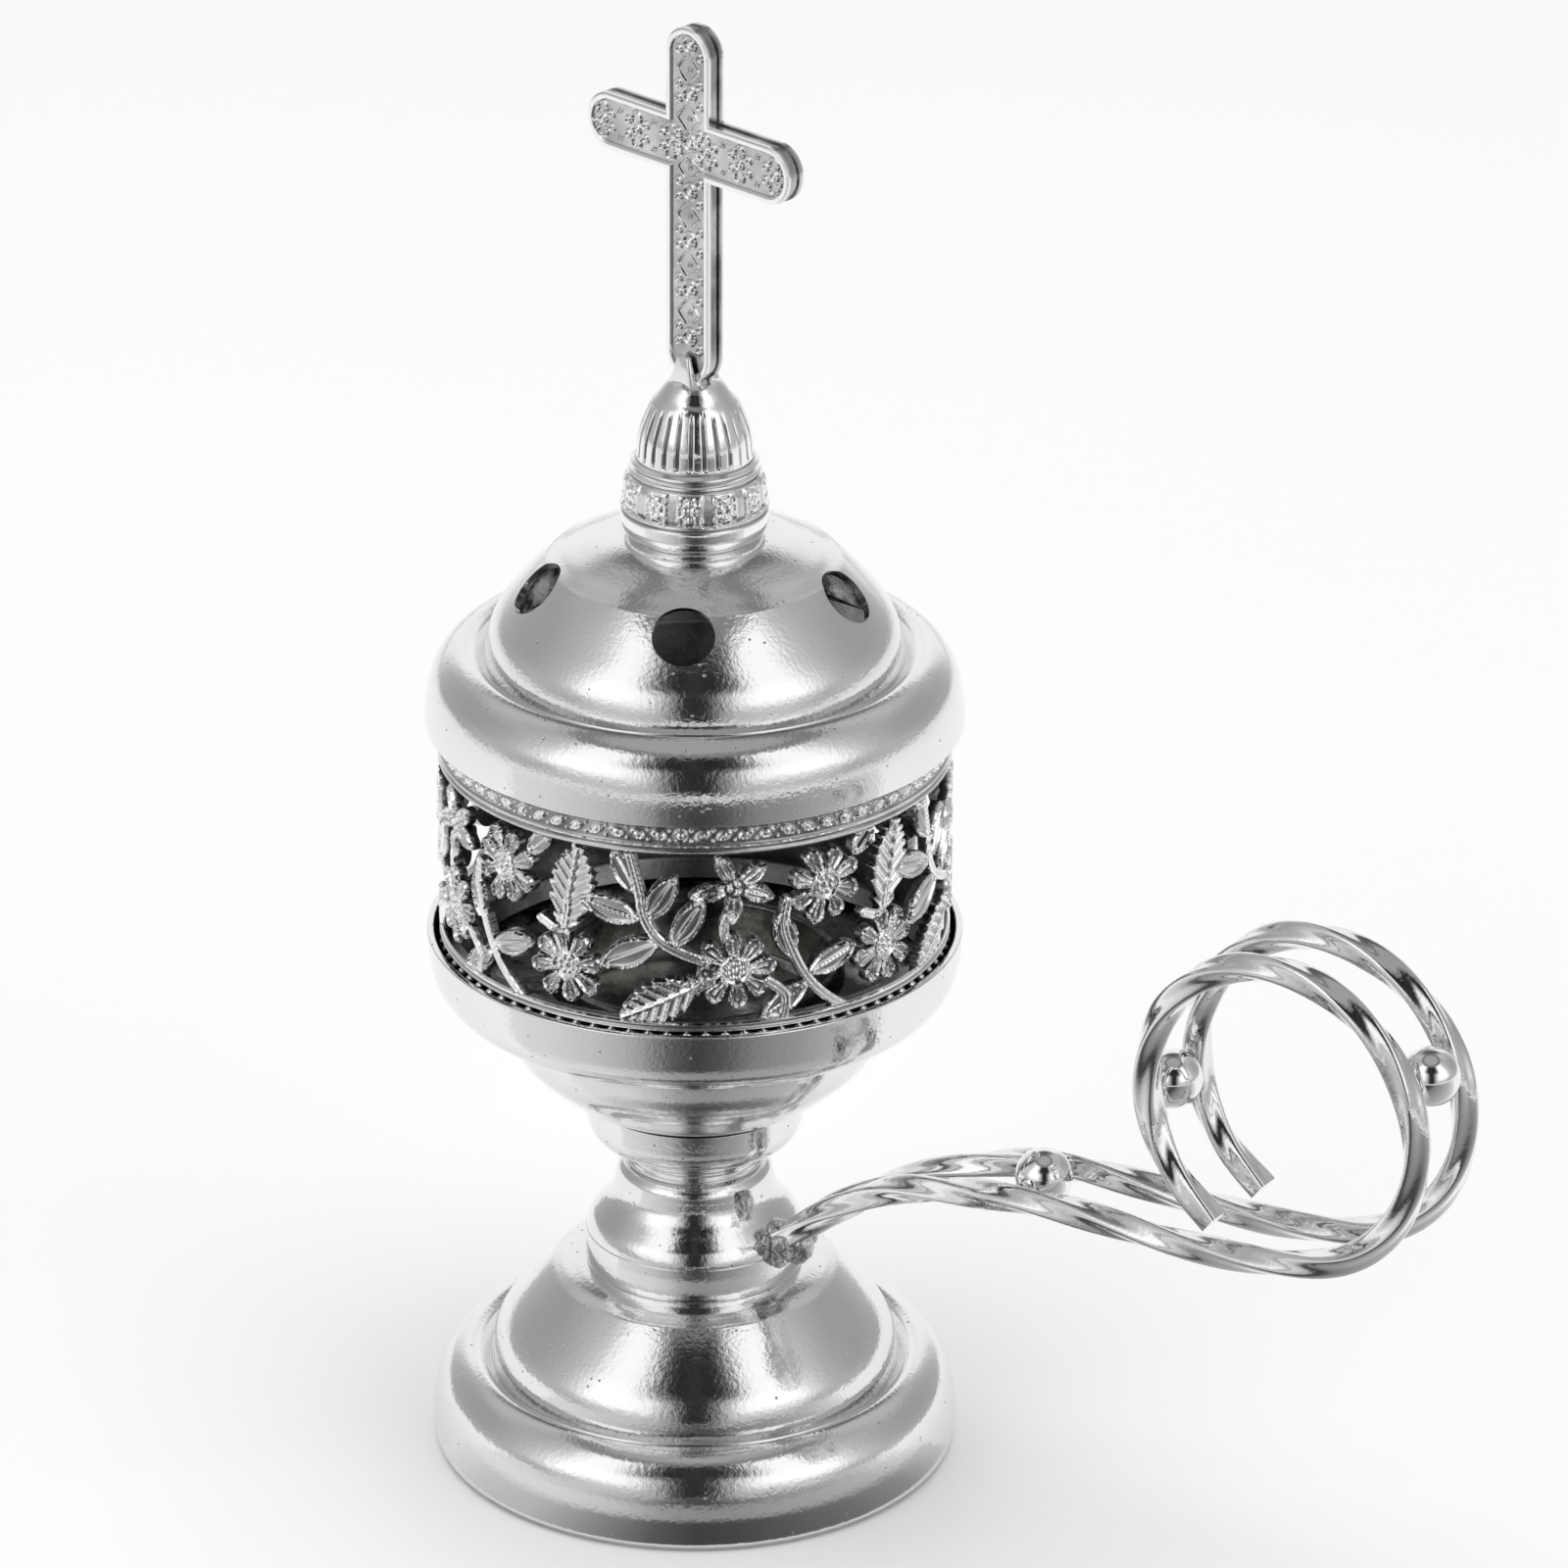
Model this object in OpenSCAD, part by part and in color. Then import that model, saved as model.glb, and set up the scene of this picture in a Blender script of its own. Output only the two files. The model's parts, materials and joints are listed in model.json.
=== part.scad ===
/* [Base] */
// Radius of the foot and of the lid at their widest
rim_r = 33; // [31:0.5:36]
// Thickness of the spun sheet
sheet = 0.9; // [0.7:0.1:1.2]

/* [Stem] */
// Radius of the drum that stands on the foot
drum_r = 13.7; // [13:0.1:14]
// Radius of the neck under the bowl
neck_r = 8.1; // [7:0.1:9]

/* [Cover] */
// Outer radius of the pierced band
band_r = 31.7; // [31:0.1:31.8]
// Thickness of the pierced band
band_wall = 1.6; // [1.2:0.1:2]
// Diameter of each vent in the lid
vent_d = 7.6; // [6:0.2:8]
// Number of vents in the lid
vent_count = 5; // [4:1:8]
// Angle of the first vent about the upright axis, from the handle
vent_turn = -58; // [-180:1:180]

/* [Cross] */
// Span of the cross's arms
cross_span = 33.8; // [28:0.2:38]
// Height of the cross above its foot
cross_height = 44.8; // [40:0.2:52]
// Width of the cross's bars
cross_bar = 7.2; // [5:0.2:8]
// Thickness of the cross
cross_t = 2.9; // [2:0.1:3.2]
// Angle of the cross about the upright axis, from the handle's plane
cross_turn = -9; // [-90:1:90]

/* [Handle] */
// Side of the square wire
wire_side = 3; // [2.4:0.1:3.2]
// Length of wire in one full turn of its twist
wire_pitch = 48; // [30:1:80]
// Radius of the finger ring at the middle of the wire
finger_r = 18.7; // [16:0.1:20]
// Distance of each wire from the handle's middle plane at the finger ring
wire_apart = 5.4; // [5.3:0.05:5.6]
// Radius of the balls between the wires
ball_r = 3.6; // [3.4:0.05:3.7]

/* [Hidden] */
$fn = 96;

// Heights of the joints between the turned pieces, up from the table.
foot_top = 24.7;
drum_top = 29.2;
knop_top = 38.2;
neck_top = 41.1;
cup_top = 47.5;
lip_top = 70.6;
lid_lift = 95.8;
lid_top = lid_lift + 27.2;
finial_top = lid_top + 20.4;
cross_foot = finial_top - 0.8;

// The lid's own skirt is shorter than the foot's, which is the same pressing.
lid_skirt_z = 2.8;

// Screws, nuts and washers.
tie_r = 2.5;
screw_r = 2;
clear = 0.1;
washer_t = 1;
tie_end = 16.8;
nut_h = 4;
nut_r = 4.6;
bolt_head_r = 4.4;
bolt_head_h = 2.4;
screw_head_r = 3.5;
screw_head_h = 2.2;
slot_w = 1;
slot_d = 1.1;

// A smooth curve through points p, with n steps between each two.
function held(p, i) = p[max(0, min(len(p) - 1, i))];
function through(a, b, c, d, t) =
    0.5 * (2 * b + (c - a) * t + (2 * a - 5 * b + 4 * c - d) * t * t + (3 * b - a - 3 * c + d) * t * t * t);
function curve(p, n) = concat(
    [for (i = [0:len(p) - 2], k = [0:n - 1]) through(held(p, i - 1), p[i], p[i + 1], held(p, i + 2), k / n)],
    [p[len(p) - 1]]
);

// The same line moved by t to its left.
function unit(v) = v / norm(v);
function left_of(p, i) = let (d = unit(held(p, i + 1) - held(p, i - 1))) [-d[1], d[0]];
function beside(p, t) = [for (i = [0:len(p) - 1]) p[i] + t * left_of(p, i)];
function backwards(p) = [for (i = [len(p) - 1:-1:0]) p[i]];
function lifted(p, z) = [for (q = p) [q[0], q[1] + z]];

// A sheet of thickness t along the line p.
function sheet_of(p, t) = concat(p, backwards(beside(p, t)));

// The pressing that serves as foot and as lid: skirt, rounded edge, groove, dome and flat crown.
skirt = [
    [rim_r, lid_skirt_z], [rim_r - 0.05, 4.6], [rim_r - 0.5, 7.3], [rim_r - 1.3, 9.4],
    [rim_r - 2.8, 11.2], [rim_r - 4.6, 12.2], [rim_r - 6, 12], [rim_r - 7, 11.1]
];
dome = [
    [rim_r - 7.2, 10.7], [rim_r - 7.6, 13.2], [rim_r - 8.3, 15.4], [rim_r - 9.5, 17.4],
    [rim_r - 11.3, 19.6], [rim_r - 13.3, 21.8], [rim_r - 15, 23.5]
];
pressing = concat(curve(skirt, 5), curve(dome, 5));
crown = [[rim_r - 16.6, 24.3], [rim_r - 18, 24.6]];

// The lid's crown is a shallow dome of its own, up to the finial.
lid_crown = [
    [rim_r - 16.6, 24.3], [rim_r - 17.6, 24.85], [rim_r - 19, 25.5], [rim_r - 21, 26.35],
    [rim_r - 23, 26.95], [rim_r - 24.7, 27.2]
];

// The bowl: a deep well under a wide shallow pan.
bowl_well = [
    [13.6, 47.8], [16.6, 49.4], [19.5, 51.8], [21.3, 53.5], [22.6, 55.2], [23.7, 57.6], [24.3, 60]
];
bowl_pan = [
    [25.2, 61.3], [27.2, 61.8], [29.2, 62], [30.8, 62.8], [32, 64.3], [32.6, 65.9], [32.9, 67.7]
];
bowl_line = concat(
    [[tie_r + clear, cup_top], [12.4, cup_top]],
    curve(bowl_well, 4),
    curve(bowl_pan, 4),
    [[33.1, lip_top]]
);

module turned(outline) {
    rotate_extrude() polygon(outline);
}

module washer(r, hole_r, z) {
    translate([0, 0, z]) difference() {
        cylinder(r = r, h = washer_t);
        translate([0, 0, -1]) cylinder(r = hole_r, h = washer_t + 2);
    }
}

// A screw's shaft and slotted head. The head's underside is at z = 0 and the shaft runs down.
module screw(r, length, head_r, head_h) {
    translate([0, 0, -length]) cylinder(r = r, h = length + head_h / 2);
    difference() {
        cylinder(r1 = head_r, r2 = head_r * 0.82, h = head_h);
        translate([-head_r, -slot_w / 2, head_h - slot_d]) cube([head_r * 2, slot_w, slot_d + 1]);
    }
}

// Stand ------------------------------------------------------------------

module foot() {
    edge = [[rim_r - 0.9, 0], [rim_r - 0.2, 0.9]];
    top = [[tie_r + clear, foot_top]];
    line = concat(edge, pressing, crown, [[drum_r, foot_top]], top);
    inner = beside(line, sheet);
    color("silver") turned(concat(line, backwards(inner), [[rim_r - 0.9 - sheet, 0]]));
}

module foot_washer() {
    color("gray") washer(8, tie_r + clear, foot_top - sheet - washer_t);
}

module foot_nut() {
    color("gray") translate([0, 0, foot_top - sheet - washer_t - nut_h]) difference() {
        cylinder(r = nut_r, h = nut_h, $fn = 6);
        translate([0, 0, -1]) cylinder(r = tie_r, h = nut_h + 2);
    }
}

module tie_bolt() {
    head_z = cup_top + sheet + washer_t;
    color("gray") translate([0, 0, head_z]) screw(tie_r, head_z - tie_end, bolt_head_r, bolt_head_h);
}

module stem_drum() {
    color("silver") turned([
        [tie_r + clear, foot_top], [drum_r - 0.1, foot_top], [drum_r, foot_top + 0.6],
        [drum_r + 0.05, foot_top + 3], [drum_r - 0.05, drum_top], [tie_r + clear, drum_top]
    ]);
}

knop_side = [
    [drum_r - 0.15, drum_top], [13.35, 30], [12.85, 31.1], [12.05, 32.1], [10.95, 33.4],
    [10.2, 34.8], [9.85, 36.3], [9.6, 37.4], [9, knop_top]
];

module stem_knop() {
    color("silver") turned(concat(
        [[tie_r + clear, drum_top]], curve(knop_side, 4), [[tie_r + clear, knop_top]]
    ));
}

module neck_ring() {
    side = [
        [neck_r, knop_top], [neck_r + 0.5, knop_top + 0.5], [neck_r, knop_top + 1],
        [neck_r + 0.2, knop_top + 1.6], [neck_r + 0.9, knop_top + 2.3], [neck_r + 1.3, neck_top]
    ];
    color("silver") turned(concat(
        [[tie_r + clear, knop_top]], curve(side, 3), [[tie_r + clear, neck_top]]
    ));
}

module stem_cup() {
    side = [
        [9.6, neck_top], [11.4, neck_top + 0.7], [12.7, neck_top + 1.7], [13.35, neck_top + 3.1],
        [13.5, neck_top + 4.6], [13.6, cup_top]
    ];
    color("silver") turned(concat(
        [[tie_r + clear, neck_top]], curve(side, 4), [[tie_r + clear, cup_top]]
    ));
}

module bowl() {
    color("silver") turned(sheet_of(bowl_line, sheet));
}

module bowl_washer() {
    color("gray") washer(7, tie_r + clear, cup_top + sheet);
}

// Handle -----------------------------------------------------------------

finger_x = 89;
finger_z = 72;
finger_first = -72;
finger_last = 242;
finger_step = 22.43;

// The middle line of the handle in its own plane: out from the knop, then round the finger ring.
run = [
    [14.6, 31.8], [22, 37.8], [31.5, 43.8], [42.5, 48], [53, 50.2], [64, 50.9], [75, 51.1], [85, 52]
];
function on_ring(a) = [finger_x + finger_r * cos(a), finger_z + finger_r * sin(a)];
route = curve(concat(run, [for (a = [finger_first:finger_step:finger_last]) on_ring(a)]), 5);
travelled = [
    for (i = 0, s = 0; i < len(route); s = s + norm(held(route, i + 1) - route[i]), i = i + 1) s
];

// The wires touch at the knop and part before the first ball.
wire_start = wire_side * 0.55;
part_from = 26;
part_to = 50;
function eased(t) = let (c = max(0, min(1, t))) c * c * (3 - 2 * c);
function apart(x) = wire_start + (wire_apart - wire_start) * eased((x - part_from) / (part_to - part_from));
function wire_line(side) = [
    for (i = [0:len(route) - 1])
        [route[i][0], side * (travelled[i] > part_to + 30 ? wire_apart : apart(route[i][0])), route[i][1]]
];

// A square with its corners cut, as angles and distances from the wire's middle.
wire_corner = 0.86;
wire_section = [
    for (q = [0:3], s = [-1, 1])
        let (h = wire_side / 2, c = h * wire_corner)
            [q * 90 + atan2(s * c, h), norm([h, c])]
];

module wire(side) {
    line = wire_line(side);
    points = [
        for (i = [0:len(line) - 1])
            let (
                t = unit(held(line, i + 1) - held(line, i - 1)),
                b = unit([0, 1, 0] - t[1] * t),
                n = cross(b, t),
                turn = 360 * travelled[i] / wire_pitch
            )
            for (c = wire_section) line[i] + c[1] * (cos(c[0] + turn) * n + sin(c[0] + turn) * b)
    ];
    k = len(wire_section);
    last = (len(line) - 1) * k;
    polyhedron(points, concat(
        [[for (j = [0:k - 1]) j]],
        [
            for (i = [0:len(line) - 2], j = [0:k - 1], half = [0, 1])
                let (a = i * k + j, b = i * k + (j + 1) % k)
                    half == 0 ? [a, a + k, b + k] : [a, b + k, b]
        ],
        [[for (j = [k - 1:-1:0]) last + j]]
    ));
}

module handle_wire_left() {
    color("silver") wire(1);
}

module handle_wire_right() {
    color("silver") wire(-1);
}

module ball_at(p) {
    color("white") translate([p[0], 0, p[1]]) sphere(r = ball_r);
}

module handle_ball_inner() {
    ball_at([52.3, 51]);
}

module handle_ball_middle() {
    ball_at(on_ring(188));
}

module handle_ball_outer() {
    ball_at(on_ring(25));
}

module handle_solder() {
    color("lightgray") difference() {
        union() {
            translate([15.2, 0, 31.6]) sphere(r = 3.3);
            translate([14.6, 0, 28.9]) sphere(r = 2.6);
        }
        stem_drum();
        stem_knop();
    }
}

// Charcoal pan -----------------------------------------------------------

pan_flange_z = 62.5;
pan_floor = 57.6;
pan_well_r = 17;
pan_rim_top = 66;
pan_flange_r = 25.4;

module charcoal_pan() {
    color("dimgray") turned([
        [0, pan_floor], [pan_well_r - 0.6, pan_floor], [pan_well_r + 0.3, pan_floor + 0.6],
        [pan_well_r + 0.9, pan_floor + 1.8], [pan_well_r + 0.9, pan_flange_z],
        [pan_flange_r, pan_flange_z], [pan_flange_r, pan_flange_z + sheet],
        [pan_well_r + 1.5, pan_flange_z + sheet],
        [pan_well_r + 1, pan_rim_top - 0.3], [pan_well_r + 0.5, pan_rim_top],
        [pan_well_r, pan_rim_top - 0.4], [pan_well_r, pan_floor + 1.8],
        [pan_well_r - 0.9, pan_floor + sheet], [0, pan_floor + sheet]
    ]);
}

// Cover ------------------------------------------------------------------

window_low = 71.8;
window_high = 93.8;
band_foot = 63.3;
band_top = 103;
collar_r = rim_r - sheet - 0.15;
repeats = 5;
repeat_angle = 360 / repeats;

// A solid seen square on at angle a and height z of the band.
module facing(a, z) {
    rotate([0, 0, a]) translate([band_r - 5, 0, z]) rotate([90, 0, 90]) linear_extrude(8) children();
}

// A leaf: two arcs that meet in points, length long and width wide.
module leaf(length, width) {
    r = (length * length / 4 + width * width / 4) / width;
    intersection() {
        translate([0, r - width / 2]) circle(r);
        translate([0, width / 2 - r]) circle(r);
    }
}

// A straight bar of stem between two places, each an angle and a height.
stem_w = 1.3;
module stem(from, to) {
    mid = (from + to) / 2;
    rise = to[1] - from[1];
    across = (to[0] - from[0]) * PI / 180 * band_r;
    facing(mid[0], mid[1]) rotate(atan2(rise, across))
        translate([-norm([rise, across]) / 2, -stem_w / 2]) square([norm([rise, across]), stem_w]);
}

daisy_r = 4.5;
star_r = 3.6;

// One repeat of the flowers, leaves and stems, each placed by its angle and height.
module motif() {
    facing(8.8, 78.2) circle(daisy_r);
    facing(30, 88.4) circle(daisy_r);
    facing(46, 77.6) circle(daisy_r);
    facing(7.9, 89.8) circle(star_r);
    facing(-14, 88.8) rotate(-60) leaf(8.5, 3.4);
    facing(-8, 84.5) rotate(55) leaf(8, 3.4);
    facing(-15, 79.6) rotate(15) leaf(8.5, 3.4);
    facing(22, 80.4) rotate(60) leaf(8, 3.4);
    stem([-12, window_high + 0.5], [8.8, 78.2]);
    stem([-6, window_low - 0.5], [8.8, 78.2]);
    stem([7.9, 89.8], [8.8, 78.2]);
    stem([7.9, 89.8], [30, 88.4]);
    stem([19, 84], [33, window_low - 0.5]);
    stem([-26, 78.6], [-8, 81]);
    stem([30, 88.4], [46, 77.6]);
    stem([28, 77], [46, 77.6]);
    stem([7.9, 89.8], [12, window_high + 0.5]);
    stem([30, 88.4], [34, window_high + 0.5]);
    stem([46, 77.6], [43, window_low - 0.5]);
}

module pierced_band() {
    inner_r = band_r - band_wall;
    color("silver") {
        turned([
            [inner_r - 1.1, band_foot], [inner_r - 0.6, band_foot], [inner_r + 0.2, band_foot + 0.9],
            [inner_r + 0.9, band_foot + 2.1], [band_r - 0.2, band_foot + 3.5], [band_r, band_foot + 4.3],
            [band_r, window_low], [inner_r, window_low], [inner_r, band_foot + 2.4]
        ]);
        turned([
            [inner_r, window_high], [band_r, window_high], [band_r, 98.2], [collar_r, 98.7],
            [collar_r, 100], [collar_r - 0.55, band_top], [collar_r - 1.4, band_top], [inner_r, 100]
        ]);
        intersection() {
            difference() {
                translate([0, 0, window_low - 0.2]) cylinder(r = band_r, h = window_high - window_low + 0.4);
                translate([0, 0, window_low - 1]) cylinder(r = inner_r, h = window_high - window_low + 2);
            }
            union() for (i = [0:repeats - 1]) rotate([0, 0, i * repeat_angle]) motif();
        }
    }
}

module lid() {
    line = lifted(
        concat(pressing, curve(lid_crown, 3), [[screw_r + clear, 27.2]]),
        lid_lift
    );
    vent_r = rim_r - 13.1;
    vent_z = lid_lift + 21.8;
    color("silver") difference() {
        turned(sheet_of(line, sheet));
        for (i = [0:vent_count - 1]) rotate([0, 0, vent_turn + i * 360 / vent_count])
            translate([vent_r, 0, vent_z]) rotate([0, 45, 0])
                translate([0, 0, -5]) cylinder(d = vent_d, h = 10);
    }
}

module lid_washer() {
    color("gray") washer(6, screw_r + clear, lid_top - sheet - washer_t);
}

finial_side = [
    [7.9, lid_top], [8.7, lid_top + 0.7], [9.05, lid_top + 1.9], [8.95, lid_top + 3.2],
    [8.6, lid_top + 3.9], [8.75, lid_top + 5.3], [8.5, lid_top + 6.8], [8, lid_top + 8],
    [7.7, lid_top + 8.8], [7.45, lid_top + 9.7], [7.1, lid_top + 10.3], [6.85, lid_top + 12.7],
    [6.2, lid_top + 14.7], [5.3, lid_top + 16.8], [4.4, lid_top + 17.9], [3.6, lid_top + 19],
    [2.7, lid_top + 19.8], [1, finial_top]
];

// The fork at the finial's top clasps the cross's foot between two cheeks.
fork_w = 4.4;
fork_cheek = 1;
fork_h = 3.6;

module finial() {
    socket_h = 12;
    color("silver") difference() {
        union() {
            turned(concat([[0, lid_top]], curve(finial_side, 3), [[0, finial_top]]));
            rotate([0, 0, cross_turn]) translate([0, 0, finial_top - 1]) rotate([90, 0, 0])
                translate([0, 0, -cross_t / 2 - fork_cheek]) linear_extrude(cross_t + fork_cheek * 2)
                    polygon([
                        [-fork_w / 2, 0], [fork_w / 2, 0], [fork_w / 4, fork_h], [-fork_w / 4, fork_h]
                    ]);
        }
        translate([0, 0, lid_top - 1]) cylinder(r = screw_r, h = socket_h + 1);
        rotate([0, 0, cross_turn]) translate([-cross_bar, -cross_t / 2, cross_foot])
            cube([cross_bar * 2, cross_t, 20]);
    }
}

module finial_screw() {
    color("gray") translate([0, 0, lid_top - sheet - washer_t]) mirror([0, 0, 1])
        screw(screw_r, 11, screw_head_r, screw_head_h);
}

// A bar with round ends from one point to another, its edge moved in by inset.
module round_bar(length, inset) {
    r = cross_bar / 2 - inset;
    translate([-length / 2 + cross_bar / 2, -r]) square([length - cross_bar, r * 2]);
    for (s = [-1, 1]) translate([s * (length - cross_bar) / 2, 0]) circle(r);
}

module cross_outline(inset) {
    arm_z = cross_height - 15;
    translate([0, arm_z]) round_bar(cross_span, inset);
    translate([0, cross_height / 2]) rotate(90) round_bar(cross_height, inset);
}

module cross() {
    rim = 0.9;
    relief = 0.4;
    color("silver") rotate([0, 0, cross_turn]) translate([0, 0, cross_foot]) rotate([90, 0, 0])
        difference() {
            translate([0, 0, -cross_t / 2]) linear_extrude(cross_t) cross_outline(0);
            for (s = [-1, 1]) translate([0, 0, s * (cross_t / 2 + 1 - relief) - 1])
                linear_extrude(2) cross_outline(rim);
        }
}

foot();
foot_washer();
foot_nut();
tie_bolt();
stem_drum();
stem_knop();
neck_ring();
stem_cup();
bowl();
bowl_washer();
handle_wire_left();
handle_wire_right();
handle_ball_inner();
handle_ball_middle();
handle_ball_outer();
handle_solder();
charcoal_pan();
pierced_band();
lid();
lid_washer();
finial();
finial_screw();
cross();
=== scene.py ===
"""The looks of a hand censer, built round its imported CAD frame.

Lengths in the outlines are millimetres, as in the part's source. Meshes are made in metres.
Angles round the upright axis are degrees from +X, the handle's direction.
"""

import json
import math

import bmesh
import bpy
import numpy as np
from mathutils import Matrix, Vector, noise

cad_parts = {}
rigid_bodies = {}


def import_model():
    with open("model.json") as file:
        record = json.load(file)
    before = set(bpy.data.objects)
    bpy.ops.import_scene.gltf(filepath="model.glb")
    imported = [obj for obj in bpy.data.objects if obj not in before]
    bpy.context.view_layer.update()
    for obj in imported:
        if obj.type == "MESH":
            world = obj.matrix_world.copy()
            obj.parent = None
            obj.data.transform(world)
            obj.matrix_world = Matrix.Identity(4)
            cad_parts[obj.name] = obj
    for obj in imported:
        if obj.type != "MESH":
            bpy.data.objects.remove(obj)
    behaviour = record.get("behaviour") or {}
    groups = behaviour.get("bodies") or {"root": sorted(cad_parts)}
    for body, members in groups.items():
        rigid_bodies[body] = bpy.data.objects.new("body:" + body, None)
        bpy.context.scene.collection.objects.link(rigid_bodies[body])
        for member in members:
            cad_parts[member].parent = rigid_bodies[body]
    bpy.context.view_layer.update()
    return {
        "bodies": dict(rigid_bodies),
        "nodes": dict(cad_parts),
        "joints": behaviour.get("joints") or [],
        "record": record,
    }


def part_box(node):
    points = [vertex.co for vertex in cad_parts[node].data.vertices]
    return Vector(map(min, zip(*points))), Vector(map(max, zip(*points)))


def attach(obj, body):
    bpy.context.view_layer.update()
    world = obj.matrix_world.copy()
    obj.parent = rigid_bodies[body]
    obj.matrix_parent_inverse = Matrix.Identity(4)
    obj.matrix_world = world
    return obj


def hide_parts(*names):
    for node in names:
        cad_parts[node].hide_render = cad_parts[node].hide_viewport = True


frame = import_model()
MM = 0.001

# The camera's side of the censer, which the flowers and the studio light are laid out from.
VIEW_AZIMUTH = 36.0
VIEW_ELEVATION = 24.2
FRONT = VIEW_AZIMUTH - 90.0


def low(node):
    """The lowest corner of a CAD node, in millimetres."""
    return np.array(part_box(node)[0]) / MM


def high(node):
    """The highest corner of a CAD node, in millimetres."""
    return np.array(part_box(node)[1]) / MM


# Driving sizes, read from the frame. Foot and lid share a pressing, which starts this high above its own foot.
PRESS_LOW = 2.8
RIM_R = high("foot")[1]
FOOT_TOP = high("foot")[2]
DRUM_R = high("stem_knop")[1] + 0.15
DRUM_TOP = high("stem_drum")[2]
KNOP_TOP = high("stem_knop")[2]
NECK_TOP = high("neck_ring")[2]
CUP_TOP = high("stem_cup")[2]
LIP_TOP = high("bowl")[2]
LID_LIFT = low("lid")[2] - PRESS_LOW
LID_TOP = high("lid")[2]
FINIAL_TOP = high("finial")[2]
BAND_LOW = low("pierced_band")[2]
BAND_HIGH = high("pierced_band")[2]
CROSS_LOW, CROSS_HIGH = low("cross")[2], high("cross")[2]
BALL_R = (high("handle_ball_inner")[2] - low("handle_ball_inner")[2]) / 2 - 0.01
SHEET = 0.9


# Lines and outlines --------------------------------------------------------


def curve(points, steps):
    """A smooth line through the points, with so many steps between each two."""
    p = np.array(points, float)
    p = np.vstack([p[:1], p, p[-1:]])
    out = []
    for i in range(1, len(p) - 2):
        a, b, c, d = p[i - 1 : i + 3]
        square, cube = 2 * a - 5 * b + 4 * c - d, 3 * b - a - 3 * c + d
        for t in np.arange(steps) / steps:
            out.append(0.5 * (2 * b + (c - a) * t + square * t**2 + cube * t**3))
    out.append(p[-2])
    return np.array(out)


def beside(line, distance):
    """The same line moved to its left."""
    ends = np.vstack([line[:1], line, line[-1:]])
    d = ends[2:] - ends[:-2]
    d /= np.linalg.norm(d, axis=1)[:, None]
    return line + distance * np.stack([-d[:, 1], d[:, 0]], 1)


def sheet_outline(line, thickness=SHEET):
    """The closed outline of bent sheet metal whose outer face is the line."""
    return np.vstack([line, beside(line, thickness)[::-1]])


def eased_corners(outline, radius, sharpest=22.0):
    """A closed outline with its sharp corners rounded."""
    out = []
    n = len(outline)
    for i in range(n):
        p, a, b = outline[i], outline[i - 1], outline[(i + 1) % n]
        u, v = a - p, b - p
        lu, lv = np.linalg.norm(u), np.linalg.norm(v)
        turn = 180 - math.degrees(math.acos(np.clip(u @ v / (lu * lv), -1, 1)))
        if turn < sharpest:
            out.append(p)
            continue
        r = min(radius, 0.45 * lu, 0.45 * lv)
        s, e = p + u / lu * r, p + v / lv * r
        for t in (0, 0.25, 0.5, 0.75, 1):
            out.append((1 - t) ** 2 * s + 2 * t * (1 - t) * p + t**2 * e)
    return np.array(out)


def finer(outline, longest, closed=True):
    """The outline with its long sides divided."""
    out = []
    count = len(outline) if closed else len(outline) - 1
    for i in range(count):
        a, b = outline[i], outline[(i + 1) % len(outline)]
        k = max(1, math.ceil(np.linalg.norm(b - a) / longest))
        out.extend(a + (b - a) * j / k for j in range(k))
    if not closed:
        out.append(outline[-1])
    return np.array(out)


# Meshes ----------------------------------------------------------------------


def make_mesh(name, verts, polygons):
    """A mesh from vertices in metres and a list of arrays, each of polygons with one number of sides."""
    mesh = bpy.data.meshes.new(name)
    mesh.vertices.add(len(verts))
    mesh.vertices.foreach_set("co", np.ascontiguousarray(verts, np.float32).ravel())
    polygons = [p for p in polygons if len(p)]
    loops = np.concatenate([p.ravel() for p in polygons]).astype(np.int32)
    sides = np.concatenate([np.full(len(p), p.shape[1]) for p in polygons])
    starts = np.concatenate([[0], np.cumsum(sides)[:-1]]).astype(np.int32)
    mesh.loops.add(len(loops))
    mesh.loops.foreach_set("vertex_index", loops)
    mesh.polygons.add(len(sides))
    mesh.polygons.foreach_set("loop_start", starts)
    mesh.update(calc_edges=True)
    mesh.validate()
    return mesh


def vertices_mm(mesh):
    """The mesh's vertices, in millimetres."""
    co = np.zeros(len(mesh.vertices) * 3)
    mesh.vertices.foreach_get("co", co)
    return co.reshape(-1, 3) / MM


def give_values(mesh, name, values):
    """Stores one number at each vertex, for a material to read."""
    attribute = mesh.attributes.new(name, "FLOAT", "POINT")
    attribute.data.foreach_set("value", np.asarray(values, np.float32).ravel()[: len(mesh.vertices)])


def add_piece(name, mesh, body, material, replaces=(), sharp=40.0):
    """Links a mesh as a piece that rides on a body."""
    mesh.polygons.foreach_set("use_smooth", np.ones(len(mesh.polygons), bool))
    if sharp:
        mesh.set_sharp_from_angle(angle=math.radians(sharp))
    piece = bpy.data.objects.new(name, mesh)
    bpy.context.scene.collection.objects.link(piece)
    piece.data.materials.append(material)
    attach(piece, body)
    if replaces:
        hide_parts(*replaces)
    return piece


def ring_quads(rows, columns, closed_rows):
    """Quads over a grid of vertices that closes round its columns."""
    i = np.arange(rows if closed_rows else rows - 1)[:, None]
    j = np.arange(columns)[None, :]
    a, b = i * columns + j, i * columns + (j + 1) % columns
    up = (i + 1) % rows * columns
    c, d = up + (j + 1) % columns, up + j
    return np.stack([a, b, c, d], -1).reshape(-1, 4)


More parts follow.
